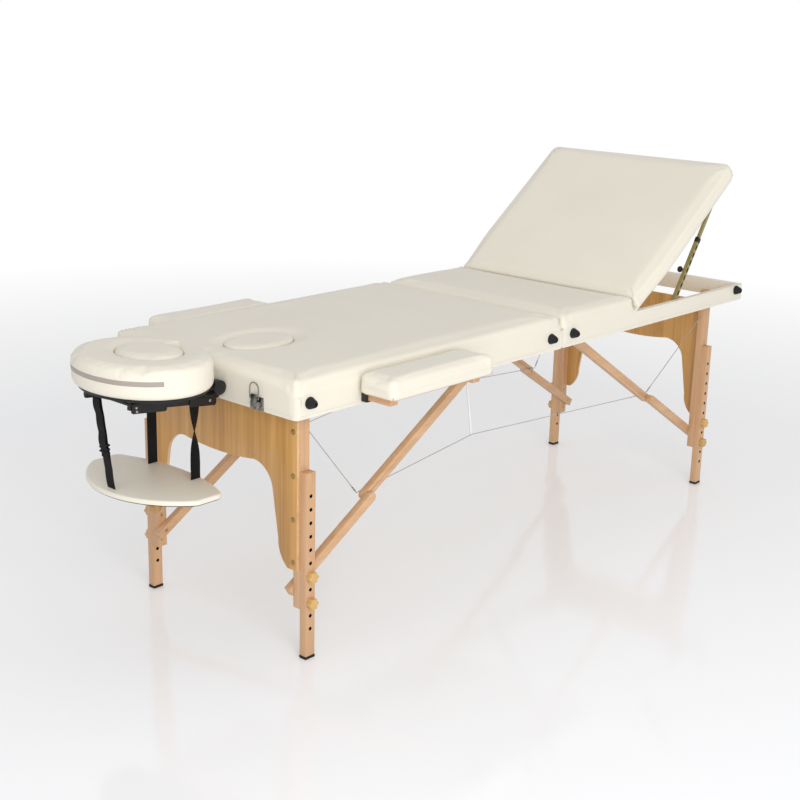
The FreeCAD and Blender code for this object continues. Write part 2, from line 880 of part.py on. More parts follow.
link_y = ("-link_out", "-link_in")
link_pins = ("-fold_pin_x", "fold_pin_x")
link = cut(
    fuse(
        box(link_pins, link_y, ("fold_pin_z - link_round", "fold_pin_z + link_round")),
        *[rod("y", "link_round", link_y, x, "fold_pin_z") for x in link_pins],
    ),
    *[
        rod("y", "fold_pin_rad + run_fit", ("-link_out - 1", "-link_in + 1"), x, "fold_pin_z")
        for x in link_pins
    ],
)
node("fold_links", pair(link))


# Latches at the head end and their catches at the foot end
def across(half):
    """Return the span across the near latch with a given half width."""
    return ("-latch_y - (%s)" % half, "-latch_y + (%s)" % half)


def ear(sign):
    """Return one ear of the near latch base."""
    middle = "-latch_y + %d * latch_ear" % sign
    return box(
        ("-half_length - latch_ear_deep", "-half_length"),
        (middle + " - latch_ear_half", middle + " + latch_ear_half"), ("latch_ear_low", "latch_ear_high"),
    )


latch_pin = ("-half_length - latch_pin_off", "latch_pin_z")
loop_pin = ("-half_length - loop_off", "loop_low")
latch_base = fuse(
    box(("-half_length - latch_plate", "-half_length"), across("latch_half"), ("latch_low", "latch_high")),
    ear(-1), ear(1),
    rod("y", "latch_pin_dia / 2", across("latch_ear"), *latch_pin),
)
node("head_hardware", pair(fold_plate(-1)) + pair(latch_base))
lever_back = "-half_length - lever_back"
lever = cut(
    fuse(
        rod("y", "lever_hub", across("lever_half"), *latch_pin),
        box((lever_back + " - lever_thick", lever_back), across("lever_half"), ("latch_pin_z", "lever_top")),
    ),
    rod("y", "latch_pin_dia / 2 + run_fit", across("latch_ear"), *latch_pin),
    rod("y", "loop_wire / 2 + run_fit", across("latch_ear"), *loop_pin),
)
loop = fuse(
    rod("y", "loop_wire / 2", across("loop_half"), *loop_pin),
    rod("z", "loop_wire / 2", ("loop_low", "loop_high"), loop_pin[0], "-latch_y - loop_half"),
    rod("z", "loop_wire / 2", ("loop_low", "loop_high"), loop_pin[0], "-latch_y + loop_half"),
    rod("y", "loop_wire / 2", across("loop_half + loop_wire / 2"), loop_pin[0], "loop_high"),
)
node("near_latch_lever", [lever])
node("far_latch_lever", [mirror(lever, CROSSWISE)])
node("near_latch_loop", [loop])
node("far_latch_loop", [mirror(loop, CROSSWISE)])
catch_out = "half_length + catch_proud"
catch = fuse(
    box(("half_length", "half_length + catch_plate"), across("catch_half"), ("catch_low", "catch_high")),
    box(("half_length", catch_out), across("catch_lip"), ("catch_lip_z", "catch_lip_z + catch_lip_thick")),
    box(
        (catch_out + " - catch_plate", catch_out), across("catch_lip"),
        ("catch_lip_z", "catch_lip_z + catch_lip_high"),
    ),
)

# Fixed fittings of the foot half
strut_anchor = box(
    ("strut_low_x - anchor_half", "strut_low_x + anchor_half"), ("-side_in", "-side_in + anchor_thick"),
    ("strut_z - anchor_low", "strut_z + anchor_high"),
)
fixed_span = ("-hinge_y - hinge_half", "-hinge_y")
moving_span = ("-hinge_y + slide_gap", "-hinge_y + hinge_half")
fixed_leaf = fuse(
    box(("seat_end", "seat_end + leaf_thick"), fixed_span, ("rail_high - batten_thick", "back_z + 1")),
    rod("y", "knuckle_rad", fixed_span, "back_x", "back_z"),
    rod("y", "hinge_pin_dia / 2", ("-hinge_y", "-hinge_y + hinge_half"), "back_x", "back_z"),
)
node("foot_hardware", pair(fold_plate(1)) + pair(catch) + pair(strut_anchor) + pair(fixed_leaf))

# Backrest, in a frame at its hinge axis while it lies flat
BACK = ("fold_x + back_x", "frame_up + back_z", (DIP, "back_angle"))
deck_wire = rounded_wire(
    2, num("back_long"), -num("half_width") + 2, num("half_width") - 2, 4, num("back_corner"), num("back_low")
)
node("backrest_deck", [solid(prism(deck_wire, num("deck_thick")))], *BACK)
back_pad_low = num("back_low") + num("deck_thick")
back_top = pad(
    6, num("back_long"), num("half_width"), back_pad_low, num("pad_thick"), num("pad_corner") / 2,
    num("back_corner") + 2, num("back_lean"), 0,
)
node("backrest_pad", [solid(back_top)], *BACK)
moving_leaf = cut(
    fuse(
        rod("y", "knuckle_rad", moving_span, "0", "0"),
        box(("0", "leaf_long"), moving_span, ("back_low - leaf_thick", "back_low")),
    ),
    rod("y", "hinge_pin_dia / 2 + run_fit", ("-hinge_y - 1", "-hinge_y + hinge_half + 1"), "0", "0"),
)
ear_in = "-strut_in + slide_gap + bracket_thick"
bracket = fuse(
    box(
        ("up_pin_x - bracket_half", "up_pin_x + bracket_half"), ("-strut_out", ear_in),
        ("back_low - leaf_thick", "back_low"),
    ),
    box(
        ("up_pin_x - bracket_ear", "up_pin_x + bracket_ear"), ("-strut_in + slide_gap", ear_in),
        ("up_pin_z - bracket_low", "back_low"),
    ),
    rod("y", "strut_pin_dia / 2", ("-strut_out + 2 * slide_gap", ear_in), "up_pin_x", "up_pin_z"),
)
node("backrest_fittings", pair(moving_leaf) + pair(bracket), *BACK)

# Struts, in a frame at their lower anchors, lying along +X
STRUT = ("fold_x + strut_low_x", "frame_up + strut_z", (DIP, "strut_angle"))
bar_y = ("-strut_mid - bar_thick / 2", "-strut_mid + bar_thick / 2")
SLOT_COUNT = 7


def strut_slot(step):
    """Return the cutter of one slot in the channel's outer wall."""
    low = "strut_slot_first + %d * strut_slot_pitch" % step
    return box(
        (low, low + " + strut_slot_long"), ("-strut_out - 1", bar_y[0]),
        ("-strut_slot_wide / 2", "strut_slot_wide / 2"),
    )


channel = cut(
    box(
        ("-strut_end_round", "channel_long"), ("-strut_out", "-strut_in"),
        ("-strut_wide / 2", "strut_wide / 2"),
    ),
    box(
        ("0", "channel_long + 1"), (bar_y[0] + " - strut_fit", bar_y[1] + " + strut_fit"),
        ("-bar_wide / 2 - strut_fit", "bar_wide / 2 + strut_fit"),
    ),
    *[strut_slot(step) for step in range(SLOT_COUNT)],
)
node("strut_channels", pair(channel), *STRUT)
bar = cut(
    box(("bar_start", "strut_long + bar_past"), bar_y, ("-bar_wide / 2", "bar_wide / 2")),
    rod("y", "strut_pin_dia / 2 + run_fit", ("-strut_out - 1", "-strut_in + 1"), "strut_long", "0"),
)
node("strut_bars", pair(bar), *STRUT)
stem_end = "-strut_in + strut_stem"
strut_knob = fuse(
    rod("y", "strut_stem_dia / 2", ("-strut_in + slide_gap", stem_end), "strut_knob_at", "0"),
    rod(
        "y", "strut_knob_dia / 2", (stem_end + " - 1", stem_end + " - 1 + strut_knob_deep"),
        "strut_knob_at", "0",
    ),
)
node("near_strut_knob", [strut_knob], *STRUT)
node("far_strut_knob", [mirror(strut_knob, CROSSWISE)], *STRUT)


# Bumpers on the near rail and handles on the far rail
def bumper(x):
    """Return one cone bumper on the near rail's outer face."""
    neck = "-half_width - bumper_high + bumper_nose"
    shoulder = "bumper_tip / 2 + bumper_lip"
    return fuse(
        cone("bumper_dia / 2", shoulder, ("-half_width", neck), x, "bumper_z"),
        cone(shoulder, "bumper_tip / 2 - bumper_end", (neck, "-half_width - bumper_high"), x, "bumper_z"),
    )


node("head_bumpers", [bumper("head_bumper_in - half_length"), bumper("-head_bumper_fold")])
node("foot_bumpers", [bumper("foot_bumper_fold"), bumper("half_length - foot_bumper_in")])


def handle(x):
    """Return one carrying handle on the far rail."""
    low, high = x + " - handle_long / 2", x + " + handle_long / 2"
    reach = "half_width + handle_off"
    tall = ("handle_low", "handle_high")
    return fuse(
        box((low, low + " + handle_post"), ("half_width", reach), tall),
        box((high + " - handle_post", high), ("half_width", reach), tall),
        box((low, high), (reach + " - handle_grip", reach), tall),
    )


node("head_handle", [handle("-head_handle_x")])
node("foot_handle", [handle("foot_handle_x")])


# Armrests and their sockets
def about(x, half):
    """Return the span about a middle with a given half length."""
    return ("%s - (%s)" % (x, half), "%s + (%s)" % (x, half))


def socket(x):
    """Return one near socket on the rail's outer face, open right through."""
    return cut(
        box(
            about(x, "bar_across / 2 + socket_wall"), ("-half_width - socket_deep", "-half_width"),
            ("bar_low - socket_wall", "bar_high + socket_wall"),
        ),
        box(
            about(x, "bar_across / 2 + slide_gap"), ("-half_width - socket_deep - 1", "-half_width + 1"),
            ("bar_low - slide_gap", "bar_high + slide_gap"),
        ),
    )


BAR_X = ("-armrest_x - armrest_bar_x", "-armrest_x + armrest_bar_x")
node("armrest_sockets", [twin for x in BAR_X for twin in pair(socket(x))])
board = box(
    about("-armrest_x", "armrest_long / 2 - board_end"), ("-armrest_out + board_in", "-board_far"),
    ("board_low", "board_top"),
)


def armrest_bar(x):
    """Return one bar with the spacer that carries the board."""
    side = about(x, "bar_across / 2")
    return fuse(
        box(side, ("-armrest_out + bar_end", "-half_width - slide_gap"), ("bar_low", "bar_high")),
        box(side, ("-armrest_out + bar_end", "-board_far"), ("bar_high", "board_low")),
    )


frame_members = [armrest_bar(x) for x in BAR_X] + [board]
node("near_armrest_frame", frame_members)
node("far_armrest_frame", [mirror(member, CROSSWISE) for member in frame_members])
ARM_SIDE = ((0, 3), (0.25, 0), (0.6, 1), (0.85, 6), (1, 17))
arm_low = num("board_top")
arm_pad = solid(pad(
    -num("armrest_x") - num("armrest_long") / 2, -num("armrest_x") + num("armrest_long") / 2,
    (num("armrest_out") - num("armrest_in")) / 2, arm_low, num("armrest_top") - arm_low,
    num("armrest_corner"), num("armrest_corner"), 0, 0,
    -(num("armrest_out") + num("armrest_in")) / 2, ARM_SIDE,
))
node("near_armrest_pad", [arm_pad])
node("far_armrest_pad", [mirror(arm_pad, CROSSWISE)])

# Face cradle
lug_y = ("-arm_in + slide_gap", "-arm_in + lug_thick")
arm_half = "arm_wide / 2"
lug = cut(
    fuse(
        box(("-arm_a_x", "-mount_end + 1"), lug_y, ("arm_a_z - " + arm_half, "arm_a_z + " + arm_half)),
        rod("y", arm_half, lug_y, "-arm_a_x", "arm_a_z"),
    ),
    rod("y", "bore_rad", ("-arm_in - 1", "-arm_in + lug_thick + 1"), "-arm_a_x", "arm_a_z"),
)
mount_rod = rod("x", "rod_dia / 2", ("-mount_face - 1", "-rod_end"), "-rod_y", "rod_z")
mount_bar = box(
    ("-mount_end", "-mount_face"), ("-mount_half", "mount_half"), ("arm_a_z - mount_low", "mount_top"),
)
node("cradle_mount", [fuse(mount_bar, *(pair(lug) + pair(mount_rod)))])
arm_y = ("-arm_out", "-arm_in")
tip_rod_x = "-arm_long - arm_tip + tip_rod_in"
arm = fuse(
    box(("-arm_long", "0"), arm_y, ("-" + arm_half, arm_half)),
    rod("y", arm_half, arm_y, "0", "0"),
    rod("y", arm_half, arm_y, "-arm_long", "0"),
    box(("-arm_long - arm_tip", "-arm_long"), arm_y, ("-" + arm_half, "tip_rod_dia / 2 + tip_lip")),
    rod("y", "bolt_rad", ("-arm_in - 1", "-arm_in + lug_thick"), "0", "0"),
)
arm_b_rod = rod("y", "bolt_rad", ("-arm_in - 1", "arm_in + 1"), "-arm_long", "0")
arm_tip_rod = rod("y", "tip_rod_dia / 2", ("-arm_in - 1", "arm_in + 1"), tip_rod_x, "0")
ARM_TURN = (CROSSWISE, "arm_angle")
cradle_arms = fuse(*(pair(arm) + [arm_b_rod, arm_tip_rod]))
node("cradle_arms", [cradle_arms], "fold_x - arm_a_x", "frame_up + arm_a_z", ARM_TURN)
stem_y = "-mount_half - clamp_stem"
clamp_knob = fuse(
    rod("y", "clamp_stem_dia / 2", (stem_y, "-mount_half - slide_gap"), "-clamp_x", "clamp_z"),
    rod("y", "clamp_dia / 2", (stem_y + " + 1 - clamp_deep", stem_y + " + 1"), "-clamp_x", "clamp_z"),
)
node("cradle_knob", [clamp_knob])

low = num("cushion_low")
platform_low = num("platform_low")
inset = num("platform_inset")


def horseshoe(body, grow, z, high):
    """Cut the face oval and the mouth that opens towards the table out of a cushion or plate."""
    tall = high + 60
    half = num("mouth_half")
    ring = oval_wire(-num("insert_x"), num("insert_half_x") + grow, num("insert_half_y") + grow, z - 5)
    mouth = Part.makeBox(num("cushion_half_x") + 60, 2 * half, tall, V(-num("insert_x"), -half, z - 5))
    return body.cut(prism(ring, tall)).cut(mouth)


plate = prism(
    oval_wire(-num("cushion_x"), num("cushion_half_x") - inset, num("cushion_half_y") - inset, platform_low),
    num("platform_thick"),
)
rest = solid(horseshoe(plate, -num("platform_rim"), platform_low, num("platform_thick")))
ear_y = ("-arm_in + slide_gap", "-arm_in + slide_gap + ear_thick")
ear_block = fuse(
    box(about("-arm_b_x", "ear_half"), ear_y, ("arm_b_z", "platform_low + 1")),
    rod("y", "ear_half", ear_y, "-arm_b_x", "arm_b_z"),
)
ear_bore = rod("y", "bore_rad", ("-arm_in - 1", "-arm_in + ear_thick + 2"), "-arm_b_x", "arm_b_z")
node("cradle_platform", [fuse(rest, *pair(cut(ear_block, ear_bore)))])
CUSHION_SIDE = ((0, 10), (0.14, 3), (0.35, 0), (0.62, 1), (0.85, 9), (1, 26))
cushion = oval_pad(
    -num("cushion_x"), num("cushion_half_x"), num("cushion_half_y"), low, num("cushion_high"), CUSHION_SIDE
)
INSERT_SIDE = ((0, 4), (0.2, 0), (0.8, 0), (0.93, 4), (1, 14))
insert = oval_pad(
    -num("insert_x"), num("insert_half_x") - num("insert_gap"), num("insert_half_y") - num("insert_gap"), low,
    num("cushion_high") + num("insert_proud"), INSERT_SIDE,
)
node("cradle_cushion", [solid(horseshoe(cushion, 0, low, num("cushion_high"))), solid(insert)])


# Arm shelf on its straps
def shelf_shape():
    """Return the half-moon board: a bowed inner edge, short ends and a round outer edge."""
    half, z = num("shelf_half"), -num("shelf_z") - num("shelf_thick")
    end, side = -num("shelf_end"), -num("shelf_side")
    a, b = V(end, -half, z), V(end, half, z)
    c, d = V(side, half, z), V(side, -half, z)
    bow = Part.Arc(a, V(-num("shelf_in"), 0, z), b).toShape()
    curve = Part.Arc(c, V(-num("shelf_out"), 0, z), d).toShape()
    wire = Part.Wire([bow, Part.makeLine(b, c), curve, Part.makeLine(d, a)])
    body = prism(wire, num("shelf_thick"))
    uprights = [edge for edge in body.Edges if abs(edge.tangentAt(edge.FirstParameter).z) > 0.99]
    return body.makeFillet(num("shelf_corner"), uprights)


node("arm_shelf", [solid(shelf_shape())])
strap_low = "slide_gap - shelf_z"
inner_strap = box(
    about("-strap_x", "strap_wide / 2"), about("-strap_y", "strap_thick / 2"), (strap_low, "under_arm"),
)


def leaning_strap():
    """Return the outer strap, which leans from the far arm's tip to the middle of the shelf."""
    low = num("slide_gap") - num("shelf_z")
    high = num("tip_z") - num("tip_rod_dia") / 2 - num("slide_gap")
    half, x = num("strap_wide") / 2, -num("tip_x") - num("strap_thick") / 2
    foot, head = -num("lean_foot"), num("lean_head")
    below = [V(x, foot - half, low), V(x, foot + half, low)]
    corners = below + [V(x, head + half, high), V(x, head - half, high)]
    return Part.Face(Part.makePolygon(corners + corners[:1])).extrude(V(num("strap_thick"), 0, 0))


node("shelf_straps", pair(inner_strap) + [solid(leaning_strap())])

# Check and export
doc.recompute()
for obj in doc.Objects:
    if "Invalid" in obj.State or "Error" in obj.State:
        raise RuntimeError("%s %s is %s" % (obj.TypeId, obj.Name, obj.State))
os.makedirs("parts", exist_ok=True)
for obj in NODES:
    shape = obj.Shape
    if shape.isNull() or not shape.isValid() or not shape.Solids:
        raise RuntimeError("%s has no valid solid" % obj.Label)
    shape.exportStep("parts/%s.step" % obj.Label)
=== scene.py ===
"""Looks of a folding massage table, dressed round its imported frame."""
import json
import logging
import math
from dataclasses import dataclass
from enum import Enum
from functools import cache
from typing import Callable, Iterable, Sequence

import bmesh
import bpy
import numpy as np
from bmesh.types import BMEdge, BMesh, BMVert
from bpy.types import Material, Mesh, MeshPolygon, Node, NodeSocket, Object
from mathutils import Matrix, Vector
from mathutils.bvhtree import BVHTree


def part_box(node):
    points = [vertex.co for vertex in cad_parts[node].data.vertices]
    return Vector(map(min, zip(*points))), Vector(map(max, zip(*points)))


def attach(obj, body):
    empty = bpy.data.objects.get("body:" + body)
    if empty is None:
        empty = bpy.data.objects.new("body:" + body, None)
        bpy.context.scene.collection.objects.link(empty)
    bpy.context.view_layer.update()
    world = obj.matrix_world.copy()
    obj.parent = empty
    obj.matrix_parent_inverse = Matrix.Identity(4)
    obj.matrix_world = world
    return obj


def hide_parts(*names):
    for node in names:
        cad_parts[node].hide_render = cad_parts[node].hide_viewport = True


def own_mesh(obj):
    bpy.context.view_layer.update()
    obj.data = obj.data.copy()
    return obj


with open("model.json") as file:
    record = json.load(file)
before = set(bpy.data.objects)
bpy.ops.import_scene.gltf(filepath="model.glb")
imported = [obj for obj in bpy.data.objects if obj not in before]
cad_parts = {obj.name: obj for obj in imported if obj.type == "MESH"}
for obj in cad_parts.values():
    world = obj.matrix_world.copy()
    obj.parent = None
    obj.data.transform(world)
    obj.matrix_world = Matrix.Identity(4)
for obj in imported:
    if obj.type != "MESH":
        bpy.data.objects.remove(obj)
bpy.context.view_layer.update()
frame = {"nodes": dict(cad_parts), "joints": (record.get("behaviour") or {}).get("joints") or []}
LOG = logging.getLogger("massage_table")

MM = 0.001
X, Y, Z = range(3)
# Slack when two places are compared, and how far a cutter reaches past what it cuts.
TINY = 1e-5
PAST = 50 * MM

Color = tuple[float, float, float]
Point = Sequence[float]
Outline = Sequence[tuple[float, float]]
Freedom = Callable[[np.ndarray], np.ndarray]
FaceTest = Callable[[MeshPolygon], bool]
PointTest = Callable[[Vector], bool]


class Place(Enum):
    """A place on the table whose name is part of node and body names."""

    @property
    def word(self) -> str:
        """The place's name as it is written there."""
        return self.name.lower()


class Side(Place):
    """Side of the table; the near one faces the camera."""

    NEAR = -1
    FAR = 1


class End(Place):
    """End of the table, with the sense of X towards the fold."""

    HEAD = 1
    FOOT = -1


class Slot(Enum):
    """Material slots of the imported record."""

    COVER = "cover"
    COVERED_FRAME = "covered_frame"
    BEECH = "beech"
    PANEL = "panel_wood"
    PLASTIC = "black_plastic"
    WEBBING = "webbing"
    TAN = "tan_knob"
    RUBBER = "rubber"
    STEEL = "steel"
    ZINC = "zinc"
    BRASS = "brass"


def joint_point(name: str) -> Vector:
    """Return a hinge's place at rest."""
    return Vector(next(joint["pos_m"] for joint in frame["joints"] if joint["name"] == name))


def ease(share: float) -> float:
    """Return a share that starts and ends slowly."""
    return share * share * (3 - 2 * share)


class NodeTree:
    """A new material, with short ways to add and link its nodes."""

    def __init__(self, name: str) -> None:
        """Start with a Principled shader.

        Args:
            name: The material's name.
        """
        self.material = bpy.data.materials.new(name)
        self.material.use_nodes = True
        self.tree = self.material.node_tree
        self.inputs = self.tree.nodes["Principled BSDF"].inputs

    def constants(self, **values: object) -> None:
        """Set shader inputs that are the same all over, written with _ for a space."""
        for name, value in values.items():
            self.inputs[name.replace("_", " ")].default_value = value

    def add(self, kind: str, **values: object) -> Node:
        """Add a node.

        Args:
            kind: Its type.
            values: Its properties, or its inputs by name.

        Returns:
            The node.
        """
        node = self.tree.nodes.new(kind)
        for name, value in values.items():
            if hasattr(node, name):
                setattr(node, name, value)
            else:
                node.inputs[name].default_value = value
        return node

    def link(self, source: NodeSocket, target: NodeSocket) -> None:
        """Link two sockets."""
        self.tree.links.new(source, target)

    def space(self, scale: Point = (1, 1, 1), turn: Point = (0, 0, 0)) -> NodeSocket:
        """Add object coordinates.

        Args:
            scale: Their scale along each axis.
            turn: Their turn about each axis.

        Returns:
            The coordinates' socket.
        """
        source = self.add("ShaderNodeTexCoord")
        mapping = self.add("ShaderNodeMapping", Scale=scale, Rotation=turn)
        self.link(source.outputs["Object"], mapping.inputs["Vector"])
        return mapping.outputs["Vector"]

    def texture(self, kind: str, space: NodeSocket, **values: object) -> NodeSocket:
        """Add a texture.

        Args:
            kind: Its kind, such as Noise.
            space: The coordinates that it reads.
            values: Its properties, or its inputs by name.

        Returns:
            The socket of its value.
        """
        node = self.add("ShaderNodeTex" + kind, **values)
        self.link(space, node.inputs["Vector"])
        return node.outputs["Distance" if kind == "Voronoi" else "Fac"]

    def combine(self, operation: str, value: NodeSocket, other: NodeSocket | float) -> NodeSocket:
        """Add a sum or a product.

        Args:
            operation: ADD or MULTIPLY.
            value: The first value.
            other: The second value, or a number.

        Returns:
            The socket of the result.
        """
        node = self.add("ShaderNodeMath", operation=operation)
        self.link(value, node.inputs[0])
        if isinstance(other, NodeSocket):
            self.link(other, node.inputs[1])
        else:
            node.inputs[1].default_value = other
        return node.outputs[0]

    def drive(
        self, name: str, source: NodeSocket, first: Color | float, last: Color | float,
        span: tuple[float, float] = (0.3, 0.7),
    ) -> None:
        """Drive a shader input by a ramp over a value.

        Args:
            name: The shader's input.
            source: The value.
            first: The colour or level where the span starts.
            last: The colour or level where it ends.
            span: The span of the value.
        """
        node = self.add("ShaderNodeValToRGB")
        for element, place, level in zip(node.color_ramp.elements, span, (first, last)):
            element.position = place
            element.color = (*np.broadcast_to(level, 3), 1)
        self.link(source, node.inputs["Fac"])
        self.link(node.outputs["Color"], self.inputs[name])

    def bump(self, height: NodeSocket, strength: float, depth: float) -> None:
        """Drive the shader's normal by a height.

        Args:
            height: The height, from 0 to 1.
            strength: How strongly it shows.
            depth: The depth that it stands for.
        """
        node = self.add("ShaderNodeBump", Strength=strength, Distance=depth)
        self.link(height, node.inputs["Height"])
        self.link(node.outputs["Normal"], self.inputs["Normal"])


@dataclass(frozen=True)
class Finish:
    """A surface finish."""

    name: str

    def material(self) -> Material:
        """Make the finish's material.

        Returns:
            The new material.
        """
        tree = NodeTree(self.name)
        self.paint(tree)
        return tree.material

    def paint(self, tree: NodeTree) -> None:
        """Add the finish's own nodes to a tree."""
        raise NotImplementedError


@dataclass(frozen=True)
class Vinyl(Finish):
    """Finish of soft upholstery vinyl with a fine leather grain."""

    light: Color
    dark: Color
    roughness: float = 0.42
    grain: float = 620.0

    def paint(self, tree: NodeTree) -> None:
        """Add faint clouds, creases and pores.

        Args:
            tree: The material's nodes.
        """
        space = tree.space()
        clouds = tree.texture("Noise", space, Scale=5.0, Detail=4.0)
        tree.drive("Base Color", clouds, self.dark, self.light)
        creases = tree.texture("Noise", space, Scale=38.0, Detail=3.0)
        tree.drive("Roughness", creases, self.roughness - 0.05, self.roughness + 0.06)
        tree.bump(tree.texture("Voronoi", space, Scale=self.grain), 0.16, 0.6 * MM)
        tree.constants(Coat_Weight=0.08, Coat_Roughness=0.35, Sheen_Weight=0.04)


@dataclass(frozen=True)
class Wood(Finish):
    """Finish of lacquered wood with its grain along one axis."""

    light: Color
    dark: Color
    along: Point
    turn: Point = (0, 0, 0)
    contrast: float = 1.0

    def paint(self, tree: NodeTree) -> None:
        """Add fibres within broader bands.

        Args:
            tree: The material's nodes.
        """
        space = tree.space(self.along, self.turn)
        fibre = tree.texture("Noise", space, Scale=1.0, Detail=6.0, Roughness=0.62)
        bands = tree.texture("Noise", space, Scale=0.28, Detail=2.0)
        grain = tree.combine("MULTIPLY", tree.combine("ADD", fibre, bands), 0.5)
        reach = 0.16 / self.contrast
        tree.drive("Base Color", grain, self.dark, self.light, (0.5 - reach, 0.5 + reach))
        tree.drive("Roughness", fibre, 0.34, 0.46)
        tree.bump(fibre, 0.08, 0.5 * MM)
        tree.constants(Coat_Weight=0.25, Coat_Roughness=0.3)


@dataclass(frozen=True)
class Metal(Finish):
    """Finish of plated metal with fine handling marks."""

    color: Color
    roughness: float

    def paint(self, tree: NodeTree) -> None:
        """Add the marks.

        Args:
            tree: The material's nodes.
        """
        marks = tree.texture("Noise", tree.space(), Scale=160.0, Detail=5.0)
        tree.drive("Base Color", marks, 0.8 * np.array(self.color), self.color)
        tree.drive("Roughness", marks, 0.8 * self.roughness, 1.2 * self.roughness)
        tree.bump(marks, 0.05, 0.2 * MM)
        tree.constants(Metallic=1.0)


@dataclass(frozen=True)
class Moulded(Finish):
    """Finish of moulded plastic or rubber with a fine texture."""

    color: Color
    roughness: float
    grain: float = 900.0
    depth: float = 0.15

    def paint(self, tree: NodeTree) -> None:
        """Add the texture and faint wear.

        Args:
            tree: The material's nodes.
        """
        space = tree.space()
        wear = tree.texture("Noise", space, Scale=24.0, Detail=4.0)
        tree.drive("Base Color", wear, 0.78 * np.array(self.color), self.color)
        tree.drive("Roughness", wear, self.roughness - 0.06, self.roughness + 0.08)
        tree.bump(tree.texture("Noise", space, Scale=self.grain, Detail=3.0), self.depth, 0.3 * MM)


@dataclass(frozen=True)
class Webbing(Finish):
    """Finish of woven strap with ribs across its length and painted shade in the grooves between them."""

    color: Color
    ribs: float
    groove: float

    def paint(self, tree: NodeTree) -> None:
        """Add the ribs, with painted shade that darkens the colour in their grooves.

        Args:
            tree: The material's nodes.
        """
        weave = tree.texture("Wave", tree.space(), Scale=self.ribs, Distortion=0.6, bands_direction="Z")
        # The colour darkens by the groove factor where the ribs' bump is low: painted shade in the grooves.
        tree.drive("Base Color", weave, self.groove * np.array(self.color), self.color, (0.2, 0.8))
        tree.bump(weave, 0.35, 0.5 * MM)
        tree.constants(Roughness=0.62, Specular_IOR_Level=0.25)


@cache
def material_of(finish: Finish) -> Material:
    """Return a finish's material, made once."""
    return finish.material()


BRACE_RISE = 432 * MM
BRACE_RUN = 695 * MM
BRACE_SLOPE = math.atan2(BRACE_RISE, BRACE_RUN)
CREAM = Vinyl("cream_vinyl", (0.84, 0.79, 0.68), (0.81, 0.76, 0.65))
STRIPE = Vinyl("taupe_vinyl", (0.42, 0.36, 0.32), (0.38, 0.33, 0.29))
BEECH_LIGHT = (0.70, 0.44, 0.25)
BEECH_DARK = (0.55, 0.31, 0.155)
BEECH_UP = Wood("beech_upright", BEECH_LIGHT, BEECH_DARK, (95, 95, 5))
BEECH_ACROSS = Wood("beech_across", BEECH_LIGHT, BEECH_DARK, (95, 5, 95))
BEECH_HEAD_BRACE = Wood("beech_head_brace", BEECH_LIGHT, BEECH_DARK, (5, 95, 95), (0, BRACE_SLOPE, 0))
BEECH_FOOT_BRACE = Wood("beech_foot_brace", BEECH_LIGHT, BEECH_DARK, (5, 95, 95), (0, -BRACE_SLOPE, 0))
PANEL_WOOD = Wood("panel_veneer", (0.67, 0.37, 0.115), (0.46, 0.22, 0.05), (120, 120, 3.2), contrast=1.2)
PANEL_EDGE = Wood("panel_edge", (0.74, 0.50, 0.30), (0.58, 0.36, 0.19), (95, 5, 95))
BLACK = Moulded("black_plastic", (0.008, 0.008, 0.009), 0.42)
BLACK_RUBBER = Moulded("black_rubber", (0.01, 0.01, 0.011), 0.62, 500.0, 0.3)
TAN = Moulded("tan_plastic", (0.72, 0.45, 0.16), 0.38, 300.0, 0.1)
# The last number of each webbing is how far painted shade darkens its grooves.
STRAP = Webbing("black_webbing", (0.007, 0.007, 0.008), 650.0, 0.4)
ELASTIC = Webbing("white_elastic", (0.95, 0.95, 0.96), 900.0, 0.86)
STEEL = Metal("bright_steel", (0.62, 0.61, 0.6), 0.28)
ZINC = Metal("yellow_zinc", (0.55, 0.47, 0.22), 0.34)
# Near-black painted shade for the insides of the strut slots and the extensions' bolt holes, made as a metal
# finish.
HOLE_SHADE = Metal("dark_slot", (0.035, 0.032, 0.026), 0.5)
WIRE = Metal("drawn_wire", (0.66, 0.66, 0.67), 0.38)
LATCH = Metal("nickel_latch", (0.36, 0.35, 0.34), 0.26)
BRASS = Metal("aged_brass", (0.52, 0.36, 0.15), 0.36)


def link_object(name: str, data: bpy.types.ID) -> Object:
    """Put a mesh, lamp or camera into the scene.

    Args:
        name: The new object's name.
        data: What it holds.

    Returns:
        The object.
    """
    obj = bpy.data.objects.new(name, data)
    bpy.context.scene.collection.objects.link(obj)
    return obj


def link_mesh(name: str, bm: BMesh) -> Object:
    """Put a bmesh into the scene.

    Args:
        name: The new object's name.
        bm: The bmesh, which is freed.

    Returns:
        The object.
    """
    mesh = bpy.data.meshes.new(name)
    bm.to_mesh(mesh)
    bm.free()
    return link_object(name, mesh)


def shade(obj: Object, smooth: bool) -> None:
    """Shade all faces of an object smooth or flat."""
    obj.data.polygons.foreach_set("use_smooth", [smooth] * len(obj.data.polygons))


def crisp(obj: Object, angle: float = 40.0) -> Object:
    """Shade an object smooth except over sharp edges.

    Args:
        obj: The object.
        angle: The angle in degrees past which an edge is sharp.

    Returns:
        The same object.
    """
    shade(obj, True)
    obj.data.set_sharp_from_angle(angle=math.radians(angle))
    return obj


def dress(
    obj: Object, finish: Finish, body: str, nodes: Iterable[str] = (), smooth: bool = True,
) -> Object:
    """Give a piece its finish, body and the CAD nodes that it stands for.

    Args:
        obj: The piece.
        finish: Its finish.
        body: The CAD body that it rides on.
        nodes: The CAD nodes that it replaces.
        smooth: Whether its faces are shaded smooth.

    Returns:
        The same piece.
    """
    obj.data.materials.clear()
    obj.data.materials.append(material_of(finish))
    shade(obj, smooth)
    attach(obj, body)
    if nodes:
        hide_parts(*nodes)
    return obj


